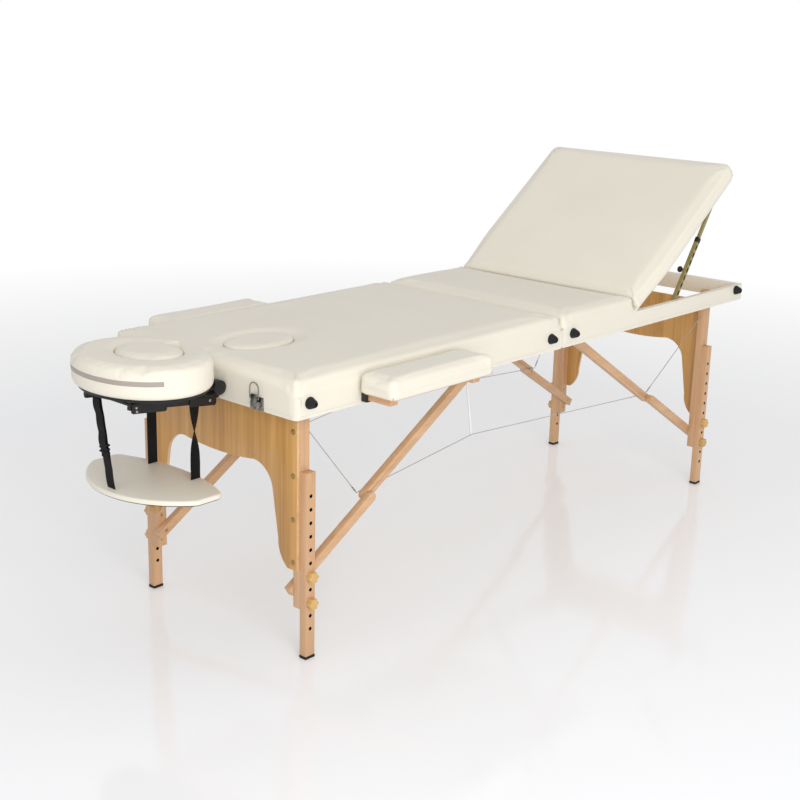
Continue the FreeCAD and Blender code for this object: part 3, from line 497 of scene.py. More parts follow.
def upholster(obj: Object, body: str, node: str) -> Object:
    """Dress a pad in the table's vinyl.

    Args:
        obj: The pad.
        body: The CAD body that it rides on.
        node: The CAD node that it replaces.

    Returns:
        The same pad.
    """
    dress(obj, CREAM, body, [node])
    return obj


def second_finish(obj: Object, finish: Finish, test: FaceTest) -> None:
    """Give some faces of a piece a second finish.

    Args:
        obj: The piece.
        finish: The second finish.
        test: Says which faces get it.
    """
    obj.data.materials.append(material_of(finish))
    for face in obj.data.polygons:
        if test(face):
            face.material_index = 1


def recolor(node: str, finish: Finish) -> None:
    """Give a CAD node that stays a better material.

    Args:
        node: The CAD node.
        finish: Its finish.
    """
    mesh = frame["nodes"][node].data
    for index in range(len(mesh.materials)):
        mesh.materials[index] = material_of(finish)


def spans(edge: BMEdge, axis: int) -> bool:
    """Say whether an edge runs along an axis."""
    return abs(edge.verts[0].co[axis] - edge.verts[1].co[axis]) > TINY


def is_at(edge: BMEdge, axis: int, place: float) -> bool:
    """Say whether both ends of an edge lie at one place on an axis."""
    return all(abs(vert.co[axis] - place) < TINY for vert in edge.verts)


def edges_of(verts: Iterable[BMVert]) -> set[BMEdge]:
    """Return the edges that meet at vertices."""
    return {edge for vert in verts for edge in vert.link_edges}


def round_edges(bm: BMesh, edges: Iterable[BMEdge], width: float, segments: int = 8) -> None:
    """Round edges.

    Args:
        bm: Their mesh.
        edges: The edges.
        width: The width of the rounding.
        segments: The steps across it.
    """
    bmesh.ops.bevel(
        bm, geom=list(edges), offset=width, offset_type="OFFSET", segments=segments, profile=0.5,
        affect="EDGES", clamp_overlap=True, material=-1,
    )


def merged(node: str) -> BMesh:
    """Copy a CAD node's mesh, with its points joined and its flat faces whole.

    Args:
        node: The CAD node.

    Returns:
        The copy.
    """
    bm = bmesh.new()
    bm.from_mesh(frame["nodes"][node].data)
    bmesh.ops.remove_doubles(bm, verts=bm.verts, dist=1e-6)
    bmesh.ops.dissolve_limit(bm, angle_limit=math.radians(0.5), verts=bm.verts, edges=bm.edges)
    return bm


def eased(node: str, name: str, width: float, segments: int = 2) -> Object:
    """Copy a CAD node with its edges softened.

    Args:
        node: The CAD node.
        name: The new object's name.
        width: The width of the softened edges.
        segments: The steps across them.

    Returns:
        The new object.
    """
    bm = merged(node)
    sharp = [e for e in bm.edges if len(e.link_faces) == 2 and e.calc_face_angle() > math.radians(35)]
    round_edges(bm, sharp, width, segments)
    return crisp(link_mesh(name, bm))


def stand_in(
    node: str, suffix: str, width: float, finish: Finish, body: str, segments: int = 2,
) -> Object:
    """Put a softened and dressed copy of a CAD node in its place, named with a suffix."""
    return dress(eased(node, node + suffix, width, segments), finish, body, [node])


def add_block(bm: BMesh, first: Point, second: Point) -> list[BMVert]:
    """Add a block.

    Args:
        bm: The mesh that takes it.
        first: One corner.
        second: The opposite corner.

    Returns:
        The block's vertices.
    """
    middle = [(a + b) / 2 for a, b in zip(first, second)]
    size = [abs(b - a) for a, b in zip(first, second)]
    matrix = Matrix.Translation(middle) @ Matrix.Diagonal((*size, 1))
    return bmesh.ops.create_cube(bm, size=1, matrix=matrix)["verts"]


def add_lathe(bm: BMesh, outline: Outline, origin: Vector, axis: Vector, steps: int = 32) -> None:
    """Turn an outline about an axis.

    Args:
        bm: The mesh that takes the turned shape.
        outline: Points (radius, height) in millimetres, where a radius of 0 lies on the axis.
        origin: The point of the axis at height 0.
        axis: The axis, pointing to greater heights.
        steps: Steps round the axis.
    """
    turn = axis.normalized().to_track_quat("Z", "Y").to_matrix().to_4x4()
    place = Matrix.Translation(origin) @ turn
    verts = [bm.verts.new(place @ (Vector((radius, 0, height)) * MM)) for radius, height in outline]
    edges = [bm.edges.new(pair) for pair in zip(verts, verts[1:])]
    bmesh.ops.spin(
        bm, geom=verts + edges, cent=origin, axis=axis.normalized(), angle=2 * math.pi, steps=steps,
        use_merge=True,
    )
    bmesh.ops.remove_doubles(bm, verts=bm.verts, dist=1e-6)
    bmesh.ops.recalc_face_normals(bm, faces=bm.faces)


def add_ribbon(bm: BMesh, path: Sequence[Vector], halves: Sequence[Vector], thick: float) -> None:
    """Skin a flat strap.

    Args:
        bm: The mesh that takes the strap.
        path: Points along the strap's middle.
        halves: At each point, the vector from the middle to one edge.
        thick: The strap's thickness.
    """
    rows = []
    for index, (spot, half) in enumerate(zip(path, halves)):
        ahead = path[min(index + 1, len(path) - 1)] - path[max(index - 1, 0)]
        lift = half.cross(ahead).normalized() * (thick / 2)
        corners = ((-1, -1), (1, -1), (1, 1), (-1, 1))
        rows.append([bm.verts.new(spot + a * half + b * lift) for a, b in corners])
    for before, after in zip(rows, rows[1:]):
        for i in range(4):
            j = (i + 1) % 4
            bm.faces.new((before[i], before[j], after[j], after[i]))
    bm.faces.new(rows[0])
    bm.faces.new(rows[-1])
    bmesh.ops.recalc_face_normals(bm, faces=bm.faces)


def add_wire(bm: BMesh, points: Sequence[Vector], radius: float, sides: int = 10) -> None:
    """Add a round wire with a ball at each bend.

    Args:
        bm: The mesh that takes the wire.
        points: Its ends and bends.
        radius: Its radius.
        sides: Its sides.
    """
    for start, end in zip(points, points[1:]):
        run = end - start
        turn = run.to_track_quat("Z", "Y").to_matrix().to_4x4()
        bmesh.ops.create_cone(
            bm, cap_ends=True, segments=sides, radius1=radius, radius2=radius, depth=run.length,
            matrix=Matrix.Translation((start + end) / 2) @ turn,
        )
    for bend in points[1:-1]:
        bmesh.ops.create_icosphere(bm, subdivisions=2, radius=radius, matrix=Matrix.Translation(bend))


def dome(radius: float, height: float, steps: int = 5) -> Outline:
    """Return the outline of a button head."""
    turns = [math.pi / 2 * step / steps for step in range(steps + 1)]
    return [(0, 0)] + [(radius * math.cos(turn), height * math.sin(turn)) for turn in turns]


def baked(obj: Object) -> Mesh:
    """Apply an object's modifiers.

    Args:
        obj: The object, which stays as it is.

    Returns:
        The resulting mesh.
    """
    graph = bpy.context.evaluated_depsgraph_get()
    graph.update()
    return bpy.data.meshes.new_from_object(obj.evaluated_get(graph))


def points_of(mesh: Mesh) -> np.ndarray:
    """List a mesh's points.

    Args:
        mesh: The mesh.

    Returns:
        One row for each point.
    """
    flat = np.empty(len(mesh.vertices) * 3)
    mesh.vertices.foreach_get("co", flat)
    return flat.reshape(-1, 3)


def free_above(level: float, fade: float = 14 * MM) -> Freedom:
    """Return a freedom to move that grows from 0 at a level to 1 at a fade above it."""
    return lambda points: (points[:, Z] - level) / fade


class Cushion:
    """A foam pad under stretched vinyl, shaped by a pressure simulation."""

    FRAMES = 16
    PRESSURE = 4.0
    QUALITY = 4
    SMOOTHINGS = 8

    def __init__(self, name: str, voxel: float) -> None:
        """Start an empty pad.

        Args:
            name: The piece's name.
            voxel: The size of its remeshed faces.
        """
        self.name = name
        self.voxel = voxel
        self.adds: list[Object] = []
        self.cuts: list[Object] = []

    def form(self, bm: BMesh, cut: bool) -> None:
        """Add a form to the pad, or cut it out."""
        (self.cuts if cut else self.adds).append(link_mesh(self.name + "_form", bm))

    def block(
        self, low: Point, high: Point, soft: float, ends: tuple[float, float], corners: tuple[float, float],
    ) -> None:
        """Add a block with rounded edges.

        Args:
            low: Its lowest corner.
            high: Its highest corner.
            soft: The rounding of the long top edges.
            ends: The roundings of the top edges at the low and the high end in X.
            corners: The roundings of the upright edges at the low and the high end in X.
        """
        bm = bmesh.new()
        add_block(bm, low, high)
        tips = (low[X], high[X])
        for x, width in zip(tips, corners):
            round_edges(bm, [e for e in bm.edges if spans(e, Z) and is_at(e, X, x)], width)
        own = [(x, width) for x, width in zip(tips, ends) if width != soft]
        rim = [e for e in bm.edges if is_at(e, Z, high[Z])]
        round_edges(bm, [e for e in rim if not any(is_at(e, X, x) for x, _ in own)], soft)
        for x, width in own:
            round_edges(bm, [e for e in bm.edges if is_at(e, Z, high[Z]) and is_at(e, X, x)], width)
        self.form(bm, cut=False)

    def oval(
        self, middle: Vector, half: Point, low: float, high: float, soft: float = 0.0, cut: bool = False,
    ) -> None:
        """Add or cut an upright oval column.

        Args:
            middle: Its middle in plan.
            half: Its half sizes in X and Y.
            low: Its lower end.
            high: Its upper end.
            soft: The rounding of its rims.
            cut: Whether it is cut out.
        """
        bm = bmesh.new()
        place = Matrix.Translation((middle.x, middle.y, (low + high) / 2))
        bmesh.ops.create_cone(
            bm, cap_ends=True, segments=72, radius1=1, radius2=1, depth=high - low,
            matrix=place @ Matrix.Diagonal((*half, 1, 1)),
        )
        if soft:
            round_edges(bm, [e for e in bm.edges if not spans(e, Z)], soft)
        self.form(bm, cut)

    def cavity(self, low: Point, high: Point) -> None:
        """Cut a block out.

        Args:
            low: Its lowest corner.
            high: Its highest corner.
        """
        bm = bmesh.new()
        add_block(bm, low, high)
        self.form(bm, cut=True)

    def remeshed(self) -> Object:
        """Join the forms and remesh them.

        Returns:
            The pad with one even skin.
        """
        base = self.adds[0]
        for operation, others in (("UNION", self.adds[1:]), ("DIFFERENCE", self.cuts)):
            for other in others:
                modifier = base.modifiers.new("join", "BOOLEAN")
                modifier.operation = operation
                modifier.solver = "EXACT"
                modifier.object = other
        remesh = base.modifiers.new("remesh", "REMESH")
        remesh.mode = "VOXEL"
        remesh.voxel_size = self.voxel
        obj = link_object(self.name, baked(base))
        for form in self.adds + self.cuts:
            bpy.data.meshes.remove(form.data)
        return obj

    def soften(self, obj: Object, test: PointTest) -> None:
        """Smooth a part of the skin, which rounds its edges there.

        Args:
            obj: The pad.
            test: Says which points are smoothed.
        """
        bm = bmesh.new()
        bm.from_mesh(obj.data)
        verts = [vert for vert in bm.verts if test(vert.co)]
        for _ in range(self.SMOOTHINGS):
            bmesh.ops.smooth_vert(
                bm, verts=verts, factor=0.5, use_axis_x=True, use_axis_y=True, use_axis_z=True,
            )
        bm.to_mesh(obj.data)
        bm.free()

    def swell(self, obj: Object, cap: float, free: Freedom) -> None:
        """Blow the skin up as cloth, with each point's movement limited.

        Args:
            obj: The pad, which keeps the result.
            cap: The furthest that a free point may move.
            free: Gives each point's freedom to move, from 0 to 1.
        """
        start = points_of(obj.data)
        share = np.clip(free(start), 0, 1)
        pins = obj.vertex_groups.new(name="pins")
        for index in np.nonzero(share < 1)[0]:
            pins.add([int(index)], float(1 - share[index]), "REPLACE")
        cloth = obj.modifiers.new("cloth", "CLOTH")
        cloth.settings.vertex_group_mass = "pins"
        cloth.settings.use_pressure = True
        cloth.settings.uniform_pressure_force = self.PRESSURE
        cloth.settings.effector_weights.gravity = 0
        cloth.settings.quality = self.QUALITY
        cloth.collision_settings.use_collision = False
        for step in range(1, self.FRAMES + 1):
            bpy.context.scene.frame_set(step)
        moved = points_of(baked(obj)) - start
        obj.modifiers.remove(cloth)
        obj.vertex_groups.remove(pins)
        bpy.context.scene.frame_set(1)
        length = np.linalg.norm(moved, axis=1, keepdims=True)
        moved *= np.minimum(1, cap * share[:, None] / np.maximum(length, 1e-9))
        obj.data.vertices.foreach_set("co", (start + moved).ravel())
        obj.data.update()

    def made(self, cap: float, free: Freedom, seam: PointTest | None = None) -> Object:
        """Finish the pad.

        Args:
            cap: The furthest that a point may move.
            free: Gives each point's freedom to move, from 0 to 1.
            seam: Says which points lie by a seam, where the skin is drawn round.

        Returns:
            The pad as an object.
        """
        obj = self.remeshed()
        if seam:
            self.soften(obj, seam)
        self.swell(obj, cap, free)
        return obj


@dataclass
class TableTop:
    """Padded halves of the top with the vinyl that wraps their rails, and the face plug."""

    voxel: float = 7 * MM
    swell_up: float = 4 * MM
    swell_cap: float = 5.5 * MM
    proud: float = 0.8 * MM
    sunk: float = 0.6 * MM
    skirt_up: float = 0.6 * MM
    fold_gap: float = 0.2 * MM
    edge: float = 33 * MM
    corner: float = 14 * MM
    seam: float = 14 * MM
    seam_corner: float = 7 * MM
    seam_reach: float = 36 * MM
    seam_up: float = 2 * MM
    rail_in: float = 13.5 * MM
    rail_end: float = 16 * MM
    rail_edge: float = 2 * MM
    rail_corner: float = 11 * MM
    rail_drop: float = 5 * MM
    rail_crease: float = 30.0
    frame_round: float = 11.5 * MM
    deck_up: float = 2 * MM
    seat_root: float = 6 * MM
    seat_back: float = 9 * MM
    seat_edge: float = 15 * MM
    seat_corner: float = 8 * MM
    seat_over: float = 10 * MM
    hole_gap: float = 0.4 * MM
    hole_grip: float = 5.0
    plug_voxel: float = 3 * MM
    plug_gap: float = 0.3 * MM
    plug_crown: float = 2.5 * MM
    plug_edge: float = 4 * MM
    plug_cap: float = 1.5 * MM
    plug_free: float = 16 * MM

    def build(self) -> None:
        """Make the pieces."""
        self.head()
        self.foot()
        self.plug()
        self.frames()

    def by_fold(self, x: float, level: float) -> PointTest:
        """Return a test for points of a pad that lie close to its fold end."""
        return lambda point: abs(point.x - x) < self.seam_reach and point.z > level + self.seam_up

    def head(self) -> None:
        """Make the head half's cover, with the face hole through it."""
        low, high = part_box("head_frame")
        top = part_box("head_pad")[1].z - self.swell_up
        wide, inner = high.y + self.proud, high.y - self.rail_in
        fold, under = high.x - self.fold_gap, low.z - PAST
        pad = Cushion("head_cover", self.voxel)
        pad.block(
            (low.x - self.proud, -wide, low.z + self.skirt_up), (fold, wide, top), self.edge,
            (self.edge, self.seam), (self.corner, self.seam_corner),
        )
        ceiling = high.z - self.rail_drop + self.deck_up
        pad.cavity((low.x + self.rail_end, -inner, under), (fold - self.rail_end, inner, ceiling))
        hole_low, hole_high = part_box("face_plug")
        middle, half = (hole_low + hole_high) / 2, (hole_high - hole_low) / 2
        pad.oval(middle, (half.x + self.hole_gap, half.y + self.hole_gap), under, top + 2 * PAST, cut=True)

        def free(points: np.ndarray) -> np.ndarray:
            """Hold the skirt and the rim of the face hole."""
            rim = np.hypot((points[:, X] - middle.x) / half.x, (points[:, Y] - middle.y) / half.y)
            return np.minimum(free_above(high.z)(points), (rim - 1) * self.hole_grip)

        cover = pad.made(self.swell_cap, free, self.by_fold(fold, high.z))
        upholster(cover, "head_half", "head_pad")

    def foot(self) -> None:
        """Make the foot half's cover: the seat and the wrapped rails behind it."""
        low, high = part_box("foot_frame")
        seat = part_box("seat_pad")[1]
        top, rail_top = seat.z - self.swell_up, high.z - self.rail_drop
        wide, inner = high.y + self.proud, high.y - self.rail_in
        fold, under = low.x + self.fold_gap, low.z - PAST
        pad = Cushion("foot_cover", self.voxel)
        pad.block(
            (fold, -wide, low.z + self.skirt_up), (high.x + self.proud, wide, rail_top - self.sunk),
            self.rail_edge, (self.rail_edge, self.rail_edge), (self.seam_corner, self.rail_corner),
        )
        pad.block(
            (fold, -wide, rail_top - self.seat_root), (seat.x - self.seat_back, wide, top), self.edge,
            (self.seam, self.seat_edge), (self.seam_corner, self.seat_corner),
        )
        pad.cavity((fold + self.rail_end, -inner, under), (seat.x, inner, rail_top + self.deck_up))
        pad.cavity((seat.x - self.seat_over, -inner, under), (high.x - self.rail_end, inner, top + 2 * PAST))
        cover = pad.made(self.swell_cap, free_above(high.z), self.by_fold(fold, high.z))
        upholster(cover, "foot_half", "seat_pad")

    def plug(self) -> None:
        """Make the oval plug of the face hole."""
        low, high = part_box("face_plug")
        half = (high - low) / 2
        pad = Cushion("face_plug_pad", self.plug_voxel)
        pad.oval(
            (low + high) / 2, (half.x - self.plug_gap, half.y - self.plug_gap), low.z,
            high.z - self.plug_crown, self.plug_edge,
        )
        cover = pad.made(self.plug_cap, free_above(high.z - self.plug_free))
        upholster(cover, "face_plug", "face_plug")

    def frames(self) -> None:
        """Make the wrapped rails with rounded outer corners, and give the backrest's board its vinyl."""
        recolor("backrest_deck", CREAM)
        for end in End:
            node = end.word + "_frame"
            low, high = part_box(node)
            bm = merged(node)
            for x in (low.x, high.x):
                outer = [e for e in bm.edges if spans(e, Z) and is_at(e, X, x) and len(e.link_faces) == 2]
                corner = [e for e in outer if abs(abs(e.verts[0].co.y) - high.y) < TINY]
                round_edges(bm, corner, self.frame_round)
            rails = crisp(link_mesh(end.word + "_rails", bm), self.rail_crease)
            dress(rails, CREAM, end.word + "_half", [node])


@dataclass
class Backrest:
    """Raised backrest with its struts; the strut knobs' outline is in millimetres."""

    voxel: float = 6 * MM
    swell_up: float = 4 * MM
    swell_cap: float = 5.5 * MM
    angle: float = math.radians(36.5)
    bulge: float = 11 * MM
    draw_in: float = 170 * MM
    start: float = 8 * MM
    length: float = 577 * MM
    deck: float = 3.9 * MM
    deck_gap: float = 1 * MM
    thick: float = 44 * MM
    edge: float = 28 * MM
    hinge_edge: float = 14 * MM
    corners: tuple[float, float] = (10 * MM, 34 * MM)
    held: float = 10 * MM
    strut_edge: float = 0.5 * MM
    strut_angle: float = math.radians(56.9)
    slot_first: float = 32 * MM
    slot_pitch: float = 24 * MM
    slot_long: float = 14 * MM
    slot_top: float = 2.4 * MM
    slot_foot: float = 3.9 * MM
    slot_deep: float = 1 * MM
    slot_proud: float = 0.3 * MM
    slot_round: float = 1.9 * MM
    collar_long: float = 14 * MM
    collar_past: float = 1 * MM
    collar_half: float = 7.4 * MM
    collar_clear: float = 0.5 * MM
    collar_round: float = 1.2 * MM
    stem: tuple[float, float] = (3.5, 5.0)
    ball: float = 9.2
    ball_tall: float = 0.8 * 9.2

    def build(self) -> None:
        """Make the pieces."""
        self.pad()
        for node in ("strut_channels", "strut_bars", "backrest_fittings"):
            body = "backrest" if node == "backrest_fittings" else node
            stand_in(node, "_plate", self.strut_edge, ZINC, body)
        for side in Side:
            self.knob(side)
            self.channel(side)

    def pad(self) -> None:
        """Make the backrest's cushion lying flat, draw it in at the hinge and raise it."""
        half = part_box("backrest_pad")[1].y + self.bulge
        low, top = self.deck + self.deck_gap, self.deck + self.thick - self.swell_up
        pad = Cushion("backrest_cover", self.voxel)
        pad.block(
            (self.start, -half, low), (self.length, half, top), self.edge, (self.hinge_edge, self.edge),
            self.corners,
        )
        cover = pad.made(self.swell_cap, free_above(low + self.held))
        for vert in cover.data.vertices:
            share = min(1.0, max(0.0, (vert.co.x - self.start) / self.draw_in))
            vert.co.y *= 1 - self.bulge / half * (1 - ease(share))
        turn = Matrix.Rotation(-self.angle, 4, "Y")
        cover.data.transform(Matrix.Translation(joint_point("backrest_tilt")) @ turn)
        upholster(cover, "backrest", "backrest_pad")

    def knob(self, side: Side) -> None:
        """Make a strut's ball knob on its stem.

        Args:
            side: The strut's side.
        """
        node = side.word + "_strut_knob"
        low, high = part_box(node)
        middle = (low + high) / 2
        base = Vector((middle.x, side.value * max(abs(low.y), abs(high.y)), middle.z))
        wide, long = self.stem
        turns = np.linspace(0.5, math.pi, 9)
        outline = [(0, 0), (wide, 0), self.stem]
        outline += [(self.ball * math.sin(t), long + self.ball_tall * (1 - math.cos(t))) for t in turns]
        bm = bmesh.new()
        add_lathe(bm, outline, base, Vector((0, -side.value, 0)), 24)
        dress(link_mesh(node + "_ball", bm), BLACK, node, [node])

    def channel(self, side: Side) -> None:
        """Make the slots in a channel's outer wall as dark blocks of painted shade, and the collar at its
        top.

        Args:
            side: The strut's side.
        """
        pin = joint_point("strut_swing")
        place = Matrix.Translation((pin.x, 0, pin.z)) @ Matrix.Rotation(-self.strut_angle, 4, "Y")
        mesh = frame["nodes"]["strut_channels"].data
        reach = [(place.inverted() @ vert.co).x for vert in mesh.vertices]
        lanes = [abs(vert.co.y) for vert in mesh.vertices]
        inner, outer = min(lanes), max(lanes)
        first, top = min(reach) + self.slot_first, max(reach)
        slots, collar = bmesh.new(), bmesh.new()
        for step in range(int((top - first) / self.slot_pitch)):
            at = first + step * self.slot_pitch
            verts = add_block(
                slots, (at, side.value * (outer - self.slot_deep), -self.slot_foot),
                (at + self.slot_long, side.value * (outer + self.slot_proud), self.slot_top),
            )
            round_edges(slots, [e for e in edges_of(verts) if spans(e, Y)], self.slot_round)
        add_block(
            collar, (top - self.collar_long, side.value * (inner - self.collar_clear), -self.collar_half),
            (top + self.collar_past, side.value * (outer + self.collar_clear), self.collar_half),
        )
        round_edges(collar, collar.edges, self.collar_round)
        for bm in (slots, collar):
            bmesh.ops.transform(bm, matrix=place, verts=bm.verts)
        # Each slot is a thin near-black block set into the wall: painted shade where the opening would look
        # dark.
        dark = link_mesh(side.word + "_strut_slots", slots)
        dress(dark, HOLE_SHADE, "strut_channels", smooth=False)
        ring = crisp(link_mesh(side.word + "_strut_collar", collar))
        dress(ring, BLACK, "strut_channels")


@dataclass
class LegSet:
    """Posts, panel, extensions, braces and knobs at one end; the screws' outline is in millimetres."""

    end: End
    knob_edge: float = 2 * MM
    panel_face: float = 0.6
    bore: float = 5.6 * MM
    bore_margin: float = 8 * MM
    bore_wall: float = 0.4
    screw_in: float = 13 * MM
    screw_drop: float = 70 * MM
    screw_pitch: float = 99.5 * MM
    screw_count: int = 4
    screw: Outline = ((0, 0), (6.2, 0), (6.2, 0.6), (5.2, 1.5), (4.6, 1.1), (3.6, 1.9), (1.8, 2.4), (0, 2.5))

    def build(self) -> None:
        """Make the pieces."""
        word = self.end.word
        brace = BEECH_HEAD_BRACE if self.end is End.HEAD else BEECH_FOOT_BRACE
        plan = (
            ("posts", BEECH_UP, Slot.BEECH, "_leg", 1.2),
            ("panel", PANEL_WOOD, Slot.PANEL, "_leg", 1.0),
            ("leg_extensions", BEECH_UP, Slot.BEECH, "_extensions", 1.6),
            ("rubber_feet", BLACK_RUBBER, Slot.RUBBER, "_extensions", 1.5),
            ("upper_braces", brace, Slot.BEECH, "_upper_braces", 1.2),
            ("lower_braces", brace, Slot.BEECH, "_lower_braces", 1.2),
            ("pivot_blocks", BEECH_UP, Slot.BEECH, "_half", 1.0),
        )
        made = {
            part: stand_in(word + "_" + part, "_eased", width * MM, finish, word + body)
            for part, finish, slot, body, width in plan
        }
        second_finish(made["panel"], PANEL_EDGE, lambda face: abs(face.normal.x) < self.panel_face)
        # The walls of the extensions' bolt holes get near-black painted shade.
        second_finish(made["leg_extensions"], HOLE_SHADE, self.in_bore())
        for side in Side:
            for level in ("low", "high"):
                node = "%s_%s_%s_knob" % (word, side.word, level)
                stand_in(node, "_star", self.knob_edge, TAN, node, 3)
        recolor(word + "_leg_fasteners", BRASS)
        self.screws()

    def in_bore(self) -> FaceTest:
        """Find the cross holes of the extensions, whose walls get painted shade.

        Returns:
            A test for faces inside the holes.
        """
        low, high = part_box(self.end.word + "_leg_extensions")
        middle = (low.x + high.x) / 2
        bottom, top = low.z + self.bore_margin, high.z - self.bore_margin

        def test(face: MeshPolygon) -> bool:
            """Say whether a face lies in a hole."""
            inside = abs(face.center.x - middle) < self.bore and bottom < face.center.z < top
            return inside and abs(face.normal.y) < self.bore_wall

        return test

    def screws(self) -> None:
        """Make the panel's screws with their cup washers."""
        panel_low, panel_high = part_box(self.end.word + "_panel")
        outward = -self.end.value
        face = panel_low.x if outward < 0 else panel_high.x
        side_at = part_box(self.end.word + "_posts")[1].y - self.screw_in
        first = joint_point(self.end.word + "_leg_fold").z - self.screw_drop
        bm = bmesh.new()
        for side in Side:
            for step in range(self.screw_count):
                spot = Vector((face, side.value * side_at, first - step * self.screw_pitch))
                add_lathe(bm, self.screw, spot, Vector((outward, 0, 0)), 20)
        screws = link_mesh(self.end.word + "_panel_screws", bm)
        dress(screws, BRASS, self.end.word + "_leg")


@dataclass
class FaceCradle:
    """Face cradle: mount, arms, knob, platform, cushion and insert; its plates are in millimetres."""

    voxel: float = 4 * MM
    fade: float = 12 * MM
    lift: float = 0.3 * MM
    ring_thick: float = 68 * MM
    ring_in: float = 4 * MM
    ring_crown: float = 3 * MM
    ring_edge: float = 13 * MM
    ring_cap: float = 4 * MM
    mouth: float = 32 * MM
    insert_shift: float = 18 * MM
    insert_half: tuple[float, float] = (68 * MM, 82 * MM)
    insert_gap: float = 2 * MM
    insert_crown: float = 2 * MM
    insert_edge: float = 12 * MM
    insert_cap: float = 2 * MM
    insert_free: float = 25 * MM
    stripe_reach: float = math.radians(64)
    stripe_up: float = 37 * MM
    stripe_wide: float = 10 * MM
    stripe_thick: float = 1 * MM
    stripe_oval: float = 0.82
    stripe_far: float = 400 * MM
    plate_sunk: float = 0.2 * MM
    plate_round: float = 5 * MM
    plate_thick: float = 2.6
    screw: tuple[float, float] = (3.4, 1.8)

    def build(self) -> None:
        """Make the pieces."""
        widths = {"cradle_mount": 1.2, "cradle_arms": 1.5, "cradle_platform": 1.0, "cradle_knob": 2.5}
        for node, width in widths.items():
            stand_in(node, "_moulded", width * MM, BLACK, node)
        self.cushion()
        self.plates()

    def plates(self) -> None:
        """Make the joint plates on the arms' outer faces, with their screws."""
        pivot, tip = joint_point("cradle_arm_tilt"), joint_point("cradle_face_tilt")
        along = (tip - pivot).normalized()
        up = Vector((0, 1, 0)).cross(along)
        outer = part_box("cradle_arms")[1].y - self.plate_sunk
        plan = (
            (pivot, (-14, 0, -14), (58, self.plate_thick, 5), ((4, -3),)),
            (tip, (-64, 0, -17), (26, self.plate_thick, 3.6), ((13, -12), (15, -4))),
        )
        plates, screws = bmesh.new(), bmesh.new()
        for side in Side:
            across = Vector((0, side.value, 0))
            for spot, low, high, heads in plan:
                place = Matrix((along, across, up)).transposed().to_4x4()
                place.translation = (spot.x, side.value * outer, spot.z)
                others = set(plates.verts)
                verts = add_block(plates, Vector(low) * MM, Vector(high) * MM)
                round_edges(plates, [e for e in edges_of(verts) if spans(e, Y)], self.plate_round, 4)
                bmesh.ops.transform(plates, matrix=place, verts=[v for v in plates.verts if v not in others])
                for s, h in heads:
                    head = place @ (Vector((s, self.plate_thick, h)) * MM)
                    add_lathe(screws, dome(*self.screw), head, across, 16)
        bmesh.ops.recalc_face_normals(plates, faces=plates.faces)
        dress(crisp(link_mesh("cradle_joint_plates", plates)), BLACK, "cradle_arms")
        dress(link_mesh("cradle_plate_screws", screws), STEEL, "cradle_arms")

    def stripe(self, ring: Object, middle: Vector, low: float) -> None:
        """Lay the taupe band on the ring's outer side.

        Args:
            ring: The ring's cushion.
            middle: Its middle.
            low: Its underside.
        """
        skin = ring.data
        tree = BVHTree.FromPolygons([v.co for v in skin.vertices], [p.vertices for p in skin.polygons])
        bm = bmesh.new()
        bmesh.ops.create_grid(bm, x_segments=96, y_segments=5, size=1)
        for vert in bm.verts:
            angle = math.pi + vert.co.x * self.stripe_reach
            out = Vector((math.cos(angle) * self.stripe_oval, math.sin(angle), 0))
            level = low + self.stripe_up + vert.co.y * self.stripe_wide / 2
            start = Vector((middle.x, middle.y, level)) + out * self.stripe_far
            out.normalize()
            vert.co = tree.ray_cast(start, -out)[0] + out * self.stripe_thick / 2
        bmesh.ops.recalc_face_normals(bm, faces=bm.faces)
        bmesh.ops.solidify(bm, geom=bm.faces, thickness=self.stripe_thick)
        dress(link_mesh("cradle_stripe", bm), STRIPE, "cradle_platform")

    def cushion(self) -> None:
        """Make the horseshoe cushion, its stripe and the oval insert."""
        low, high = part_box("cradle_cushion")
        middle, half = (low + high) / 2, (high - low) / 2
        base, top, under = low.z + self.lift, low.z + self.ring_thick, low.z - PAST
        heart = Vector((middle.x + self.insert_shift, 0, 0))
        pad = Cushion("cradle_ring", self.voxel)
        outline = (half.x - self.ring_in, half.y - self.ring_in)
        pad.oval(middle, outline, base, top - self.ring_crown, self.ring_edge)
        pad.oval(heart, self.insert_half, under, top + PAST, cut=True)
        pad.cavity((heart.x, -self.mouth, under), (high.x + PAST, self.mouth, top + PAST))
        ring = pad.made(self.ring_cap, free_above(low.z, self.fade))
        upholster(ring, "cradle_platform", "cradle_cushion")
        self.stripe(ring, middle, low.z)
        size = [part - self.insert_gap for part in self.insert_half]
        oval = Cushion("cradle_insert", self.voxel)
        oval.oval(heart, size, base, high.z - self.insert_crown, self.insert_edge)
        insert = oval.made(self.insert_cap, free_above(high.z - self.insert_free, self.fade))
        upholster(insert, "cradle_platform", "cradle_cushion")


